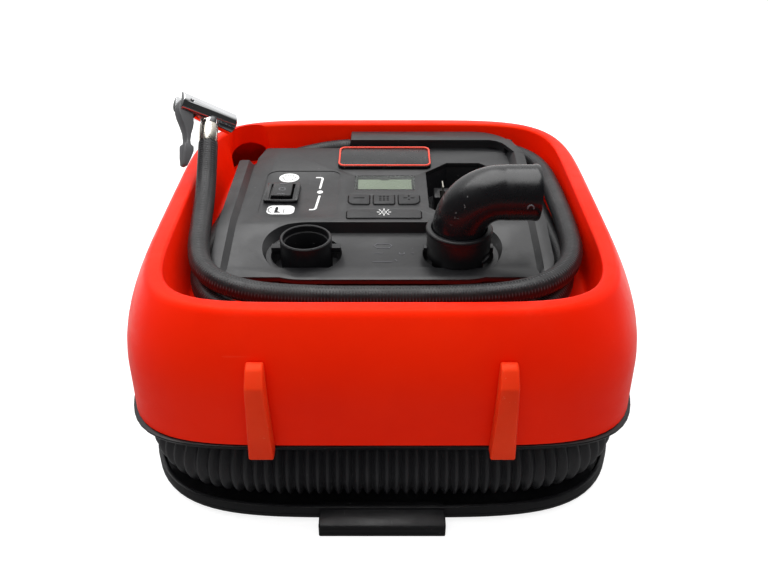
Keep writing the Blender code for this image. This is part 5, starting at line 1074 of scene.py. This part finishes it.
def makeDisplayShadowBand():  # the dark edge round the display, wider at the rear, with a tab at the top: painted shadow of the window recess's walls, laid on like print
    x, y = window["at"]
    wide, deep = window["size"]
    low, high = display["high"] - 0.0001, display["high"] + 0.00008
    left, right = x - wide / 2 + 0.0007, x + wide / 2 - 0.0007
    front, rear = y - deep / 2, y + deep / 2
    return added(box(0.0014, deep, low, high, left, y), box(0.0014, deep, low, high, right, y),
                 box(wide, 0.0012, low, high, x, front + 0.0006),
                 box(wide, 0.0042, low, high, x, rear - 0.0021),
                 slab([(x - 0.0038, rear - 0.0041), (x - 0.0022, rear - 0.0056),
                       (x + 0.0022, rear - 0.0056), (x + 0.0038, rear - 0.0041)],
                      low, high + 0.00001))


publish("display_face", makeDisplay(), "display", stands=("lcd_panel",))
# the display's dark edge is painted shadow from the recess walls
publish("display_painted_shadow", makeDisplayShadowBand(), "darkInkAndShadow")
paneSize = [side + 2 * window["seat"] - window["gap"] for side in window["size"]]
pane = slab(roundBox(*paneSize, 0.0013, *window["at"]), panel["deck"] - window["thick"],
            panel["deck"])
publish("window_pane", soften(pane, 0.0001, 1), "glass", stands=("gauge_window",))

keyLook = {"low": 0.1293, "high": 0.1363, "edge": 0.0009, "groove": 0.00045}


def makeKey(name):
    x, y, wide, deep = keyPlaces[name]
    high = keyLook["high"]
    key = slab(roundBox(wide, deep, keyCorners(name), x, y), keyLook["low"], high)
    soften(key, keyLook["edge"], 3, 60)
    low = high - keyLook["groove"]
    cuts = []
    if name == "key_minus":
        cuts = [box(0.0074, 0.0011, low, high + 0.001, x, y + 0.0012)]
    if name == "key_plus":
        cuts = [box(0.0026, 0.0011, low, high + 0.001, x + side * 0.0024, y + 0.0012)
                for side in (-1, 1)]
        cuts += [box(0.0012, 0.0022, low, high + 0.001, x, y + 0.0012 + side * 0.0024)
                 for side in (-1, 1)]
    if name == "key_unit":
        cuts = [box(0.0015, 0.0014, low, high + 0.001, x + 0.0025 * (i - 1), y + 0.0006
                    + 0.0027 * (j - 1))
                for i in range(3) for j in range(3)]
    return carved(key, [cut(tool) for tool in cuts]) if cuts else key


for name in keyPlaces:
    publish(name + "_skin", makeKey(name), "keys", name, (name,))


def makeSun():
    x, y = keyPlaces["key_light"][0], keyPlaces["key_light"][1] + 0.0014
    low, high = keyLook["high"] - 0.0001, keyLook["high"] + 0.00008
    pieces = [ribbon(arc(x, y, 0.0016, 0, 360, 28)[:-1], 0.0005, low, high, closed=True)]
    for ray in range(8):
        turn = math.radians(45 * ray)
        c, s = math.cos(turn), math.sin(turn)
        pieces.append(ribbon([(x + 0.0028 * c, y + 0.0028 * s), (x + 0.0047 * c, y + 0.0047 * s)],
                             0.0007, low, high))
    return added(*pieces)


publish("light_symbol", makeSun(), "ink", "key_light")


def makeBezel():
    frameTop = panel["deck"] + bezel["rise"]
    x, y = bezel["at"]
    bm = carved(slab(roundBox(*bezel["size"], 0.0014, x, y, 4), panel["deck"] - 0.0007, frameTop),
                [cut(box(bezel["hole"][0] - 0.0008, bezel["hole"][1] - 0.0008, 0.12, 0.15, x, y))])
    skirt = carved(box(bezel["hole"][0] - 0.0002, bezel["hole"][1] - 0.0002, 0.1235, panel["deck"],
                       x, y),
                   [cut(box(bezel["hole"][0] - 0.0022, bezel["hole"][1] - 0.0022, 0.12, 0.15, x,
                            y))])
    return soften(carved(bm, [join(skirt)]), 0.00035, 2)


publish("bezel_skin", makeBezel(), "gloss", stands=("rocker_bezel",))
rockerLook = {"from": -0.0702, "wide": 0.88, "long": 0.86, "rise": 0.66}


def makeRocker():  # the CAD rocker, drawn in a little and moved to the bezel
    bm = nodeCopy("mode_rocker")
    x, y = bezel["at"]
    for vert in bm.verts:
        vert.co.x = x + (vert.co.x - rockerLook["from"]) * rockerLook["wide"]
        vert.co.y = y + setBack + (vert.co.y - y - setBack) * rockerLook["long"]
        if vert.co.z > panel["deck"]:
            vert.co.z = panel["deck"] + (vert.co.z - panel["deck"]) * rockerLook["rise"]
    return bm


publish("rocker_skin", soften(makeRocker(), 0.0005, 3), "gloss", "mode_rocker", ("mode_rocker",),
        inPlace=True)


def makeRockerMarks():  # laid on the rocker's curved top
    tree = BVHTree.FromBMesh(makeRocker())
    x = bezel["at"][0]
    flat = added(ribbon([(x - 0.0022, 0.0318), (x + 0.0022, 0.0318)], 0.0008, 0, 1),
                 ribbon(arc(x, 0.0246, 0.0021, 0, 360, 24)[:-1], 0.0007, 0, 1, closed=True),
                 ribbon([(x - 0.0026, 0.017), (x + 0.0026, 0.017)], 0.0008, 0, 1))
    for vert in flat.verts:
        spot = Vector((vert.co.x, vert.co.y + setBack, 0.2))
        top = tree.ray_cast(spot, Vector((0, 0, -1)))[0]
        vert.co.z = top.z + (0.00008 if vert.co.z > 0.5 else -0.0003)
    return flat


publish("rocker_marks", makeRockerMarks(), "greyInkAndHighlight", "mode_rocker")


def makeBadge():
    bm = slab(roundBox(*badge["size"], badge["corner"], *badge["at"]), badge["low"], badge["front"])
    front = badge["at"][1] - badge["size"][1] / 2
    slope = (badge["rear"] - badge["front"]) / badge["size"][1]
    for vert in bm.verts:
        if vert.co.z > badge["front"] - 1e-6:
            vert.co.z += (vert.co.y - front) * slope
    return soften(bm, 0.0004, 2)


def makeBadgeRim():
    x, y = badge["at"]
    inset = badge["rim"] / 2 + 0.0004
    line = roundBox(badge["size"][0] - 2 * inset, badge["size"][1] - 2 * inset,
                    badge["corner"] - inset, x, y)
    bm = soften(ribbon(line, badge["rim"], 0, 0.0009, closed=True), 0.0002, 1)
    front = y - badge["size"][1] / 2
    slope = (badge["rear"] - badge["front"]) / badge["size"][1]
    for vert in bm.verts:
        vert.co.z += badge["front"] - 0.0002 + (vert.co.y - front) * slope
    return bm


publish("badge_skin", makeBadge(), "gloss", stands=("badge_plate",))
publish("badge_rim", makeBadgeRim(), "coral")
print("gauge, keys, switch and badge made")


# Battery dock and its terminals.

terminal = {"at": (0.053, 0.047), "size": (0.032, 0.015), "top": 0.1245,
            "blades": (-0.01, 0.0, 0.01),
            "bladeTop": 0.1312}


def makeDock():
    cup = slab(dockOutline(dock["wall"]), dock["floor"] - 0.0025, dock["top"])
    bm = carved(cup, [cut(slab(dockOutline(), dock["floor"], dock["top"] + 0.01))])
    ribs = [box(0.0016, 0.0012, dock["floor"], dock["top"] - 0.004, dock["left"] + 0.0006, 0.01
                + 0.012 * n)
            for n in range(4)]
    return soften(carved(bm, [join(rib) for rib in ribs]), 0.0003, 2)


def makeTerminal():
    x, y = terminal["at"]
    wide, deep = terminal["size"]
    cuts = [cut(box(0.0034, deep * 0.8, dock["floor"] + 0.004, 0.14, x + at, y - deep * 0.2))
            for at in terminal["blades"]]
    return soften(carved(box(wide, deep, dock["floor"] - 0.0002, terminal["top"], x, y), cuts),
                  0.0004, 2)


publish("dock_skin", makeDock(), "black", stands=("battery_dock",))
publish("terminal_skin", makeTerminal(), "black", stands=("terminal_block",))
for number, at in enumerate(terminal["blades"], 1):
    x, y = terminal["at"]
    blade = soften(box(0.0011, 0.01, dock["floor"] + 0.004, terminal["bladeTop"], x + at, y),
                   0.0002, 1)
    publish(f"blade_{number}", blade, "nickel", stands=(f"terminal_blade_{number}",) if number < 3
            else ())


# Ports.

def makePort(side):
    seat = port["seat"]
    profile = [(port["bore"], seat), (0.019, seat), (0.019, seat + 0.0025),
               (port["radius"], seat + 0.0025),
               (port["radius"], port["top"] - 0.0006), (port["radius"] - 0.0006, port["top"]),
               (0.0146, port["top"]), (0.0142, port["top"] - 0.0004),
               (0.0142, port["top"] - 0.0042),
               (0.0138, port["top"] - 0.0046), (port["bore"], port["top"] - 0.0046)]
    steps = []
    for turn in (-1, 1):
        steps.append(join(box(0.0064, 0.005, 0.1305, 0.1335, turn * 0.0182, 0)))
        wedge = sideSlab([(-0.0014, 0.1257), (0.0014, 0.1257), (0.0, 0.1279)], 0.015, 0.019)
        if turn < 0:
            bmesh.ops.rotate(wedge, verts=wedge.verts, matrix=Matrix.Rotation(math.pi, 3, "Z"))
        steps.append(join(wedge))
    bm = carved(turned(profile, 72, closed=True), steps)
    return shifted(soften(bm, 0.00025, 2, 50), side * port["x"], port["y"])


def makeWellLiner(side):  # the dark cup that each port stands in
    profile = [(0.0164, 0.1158), (0.0226, 0.1158), (0.0226, 0.1246), (0.022, 0.1246),
               (0.022, 0.1164), (0.0164, 0.1164)]
    return shifted(turned(profile, 56, closed=True), side * port["x"], port["y"])


for side, name in ((-1, "deflate_port"), (1, "inflate_port")):
    publish(name + "_skin", makePort(side), "black", stands=(name,), smooth=40)
    publish(name + "_liner", makeWellLiner(side), "black")
dress("hose_gland", "black", 0.0005)
print("dock and ports made")


# Collar and elbow.

collar = {"bore": 0.0168, "outer": 0.0204, "waist": 0.0197, "low": 0.1281, "top": 0.147,
          "slotLow": 0.1301, "slotHigh": 0.1339, "slotWidth": 0.0066, "lock": 35.0}
elbow = {"radius": 0.0164, "wall": 0.0024, "bend": 0.024, "low": 0.1422, "axis": 0.17,
         "reach": 0.0456}


def makeCollar():
    top = collar["top"]
    profile = [(collar["bore"], collar["low"]), (collar["waist"], collar["low"]),
               (collar["waist"], top - 0.0034), (collar["outer"], top - 0.0028),
               (collar["outer"], top - 0.0008), (collar["outer"] - 0.0008, top),
               (0.0174, top), (collar["bore"], top - 0.0006)]
    half = math.degrees(collar["slotWidth"] / 2 / port["radius"])
    steps = [cut(box(0.05, collar["slotWidth"], collar["low"] - 0.001, collar["slotHigh"]))]
    for start in (0.0, 180.0):
        sector = arc(0, 0, 0.023, start - collar["lock"] - half, start, 14)
        sector += arc(0, 0, 0.015, start, start - collar["lock"] - half, 14)
        steps.append(cut(slab(sector, collar["slotLow"], collar["slotHigh"])))
    bm = carved(turned(profile, 72, closed=True), steps)
    return shifted(soften(bm, 0.0003, 2, 40), port["x"], port["y"])


def pushed(bm, ring, vector, grow=0.0):
    made = bmesh.ops.extrude_edge_only(bm, edges=ring)["geom"]
    verts = list(filter(isVert, made))
    bmesh.ops.translate(bm, verts=verts, vec=vector)
    middle = sum((v.co for v in verts), Vector()) / len(verts)
    for vert in verts:
        vert.co += (vert.co - middle).normalized() * grow
    return list(filter(isEdge, made))


def makeElbow():
    bm = bmesh.new()
    bmesh.ops.create_circle(bm, cap_ends=False, segments=72, radius=elbow["radius"])
    shifted(bm, z=elbow["low"])
    ring = list(bm.edges)
    rise = elbow["axis"] - elbow["bend"] - elbow["low"]
    ring = pushed(bm, ring, (0, 0, rise))
    made = bmesh.ops.spin(bm, geom=[*{v for e in ring for v in e.verts}, *ring],
                          cent=(elbow["bend"], 0, elbow["axis"] - elbow["bend"]), axis=(0, 1, 0),
                          dvec=(0, 0, 0), angle=math.pi / 2, steps=30, use_duplicate=False)
    ring = list(filter(isEdge, made["geom_last"]))
    straight, done = elbow["reach"] - elbow["bend"], 0.0
    for share, grow in ((0.08, 0), (0.1, 0.00015), (0.84, 0), (0.87, 0.0003), (0.97, 0),
                        (1.0, -0.0004)):
        ring = pushed(bm, ring, (straight * (share - done), 0, 0), grow)
        done = share
    bmesh.ops.recalc_face_normals(bm, faces=bm.faces)
    bmesh.ops.solidify(bm, geom=bm.faces[:], thickness=elbow["wall"])
    return shifted(bm, port["x"], port["y"])


def makeElbowMark():  # a small raised half ring near the mouth
    path = [Vector((0.0858 + 0.0018 * c, 0, 0.0018 * s)) for c, s in arc(0, 0, 1, -20, 200, 14)]
    bm = sweep(path, lambda along, full: 0.00045, 8)
    reach = elbow["radius"] + 0.00035
    for vert in bm.verts:
        turn = math.radians(-5) + vert.co.z / reach
        depth = reach + vert.co.y
        vert.co.y = port["y"] - depth * math.cos(turn)
        vert.co.z = elbow["axis"] + depth * math.sin(turn)
    return bm


publish("elbow_skin", makeElbow(), "gloss", "nozzle", ("nozzle_elbow",), 40)
# the raised ring is black plastic, painted pale grey here: a painted highlight along its edge
publish("elbow_mark_painted_highlight", makeElbowMark(), "greyInkAndHighlight", "nozzle")
publish("collar_skin", makeCollar(), "black", "nozzle", ("nozzle_collar",), 40)
repaint("nozzle_seal", "rubber")
print("nozzle made")


# Inner pieces keep their CAD shape.

innerFinishes = {
    "backlight_panel": "white", "control_board": "board", "pressure_sensor": "black",
    "blower_housing": "black", "blower_cover": "black", "blower_impeller": "panel",
                 "blower_motor": "steel",
    "crank_gear": "white", "motor_pinion": "brass", "pump_motor": "steel", "pump_frame": "alloy",
    "pump_cylinder": "alloy", "cylinder_head": "alloy", "pump_piston": "alloy",
                 "air_pipe": "rubber",
    "lever_pin": "steel", "chuck_seal": "rubber",
}
for name, finish in innerFinishes.items():
    repaint(name, finish)
print("inner pieces finished")


# Floor and light.

studio = {"floor": (0.42, 0.42, 0.42), "shade": (0.07, 0.07, 0.07), "glow": 0.8, "sky": 0.5,
          "horizon": 0.03}


def makeStudio():
    bm = bmesh.new()
    bmesh.ops.create_grid(bm, x_segments=1, y_segments=1, size=3.0)
    floor = looseObject(bm, "floor")
    material, tree, shader = newMaterial("paleFloor")
    shader.inputs["Roughness"].default_value = 0.9
    shader.inputs["Emission Color"].default_value = (1, 1, 1, 1)
    path = node(tree, "ShaderNodeLightPath").outputs
    place = node(tree, "ShaderNodeSeparateXYZ")
    link(tree, node(tree, "ShaderNodeTexCoord").outputs["Object"], place.inputs[0])
    behind = mapped(tree, place.outputs["Y"], -0.25, 0.35, 0.0, 1.0)
    # seen in reflections, the floor in front is painted dark: painted shade, so front faces reflect
    # darkness rather than the white floor
    reflectedShade = times(tree, path["Is Glossy Ray"], minus(tree, 1.0, behind))
    link(tree, blendColours(tree, reflectedShade, studio["floor"], studio["shade"]),
         shader.inputs["Base Color"])
    seen = larger(tree, path["Is Camera Ray"],
                 larger(tree, path["Is Transmission Ray"],
                        times(tree, path["Is Glossy Ray"], behind)))
    link(tree, times(tree, seen, studio["glow"]), shader.inputs["Emission Strength"])
    floor.data.materials.append(material)
    world = bpy.data.worlds.new("studio")
    bpy.context.scene.world = world
    world.use_nodes = True
    tree = world.node_tree
    back = tree.nodes["Background"]
    back.inputs["Color"].default_value = (1, 1, 1, 1)
    path = node(tree, "ShaderNodeLightPath")
    aim = node(tree, "ShaderNodeSeparateXYZ")
    link(tree, node(tree, "ShaderNodeTexCoord").outputs["Generated"], aim.inputs[0])
    rise = plus(tree, aim.outputs["Z"], times(tree, aim.outputs["Y"], 0.9))
    glossy = times(tree, path.outputs["Is Glossy Ray"],
                   mapped(tree, rise, 0.45, 1.05, studio["horizon"], 1.0))
    shown = larger(tree, path.outputs["Is Camera Ray"],
                  larger(tree, glossy, path.outputs["Is Transmission Ray"]))
    unseen = minus(tree, minus(tree, 1.0, shown, True), path.outputs["Is Glossy Ray"], True)
    unseen = times(tree, unseen, studio["sky"])
    link(tree, plus(tree, shown, unseen), back.inputs["Strength"])
    lamps = {"key": ((-0.15, 0.2, 1.3), 1.3, 16.0), "fill": ((0.9, 0.2, 0.8), 0.9, 4.5),
             "side": ((-1.0, 0.45, 0.8), 0.9, 5.5), "front": ((-0.1, -1.25, 0.9), 1.4, 3.0)}
    for name, (place, size, power) in lamps.items():
        light = bpy.data.lights.new(name, "AREA")
        light.size, light.energy = size, power
        lamp = bpy.data.objects.new(name, light)
        bpy.context.scene.collection.objects.link(lamp)
        lamp.location = place
        lamp.visible_glossy = name == "key"
        aim = Vector((0, 0, 0.1)) - Vector(place)
        lamp.rotation_euler = aim.to_track_quat("-Z", "Y").to_euler()


makeStudio()
bpy.context.scene.view_settings.view_transform = "Standard"
print("studio made")
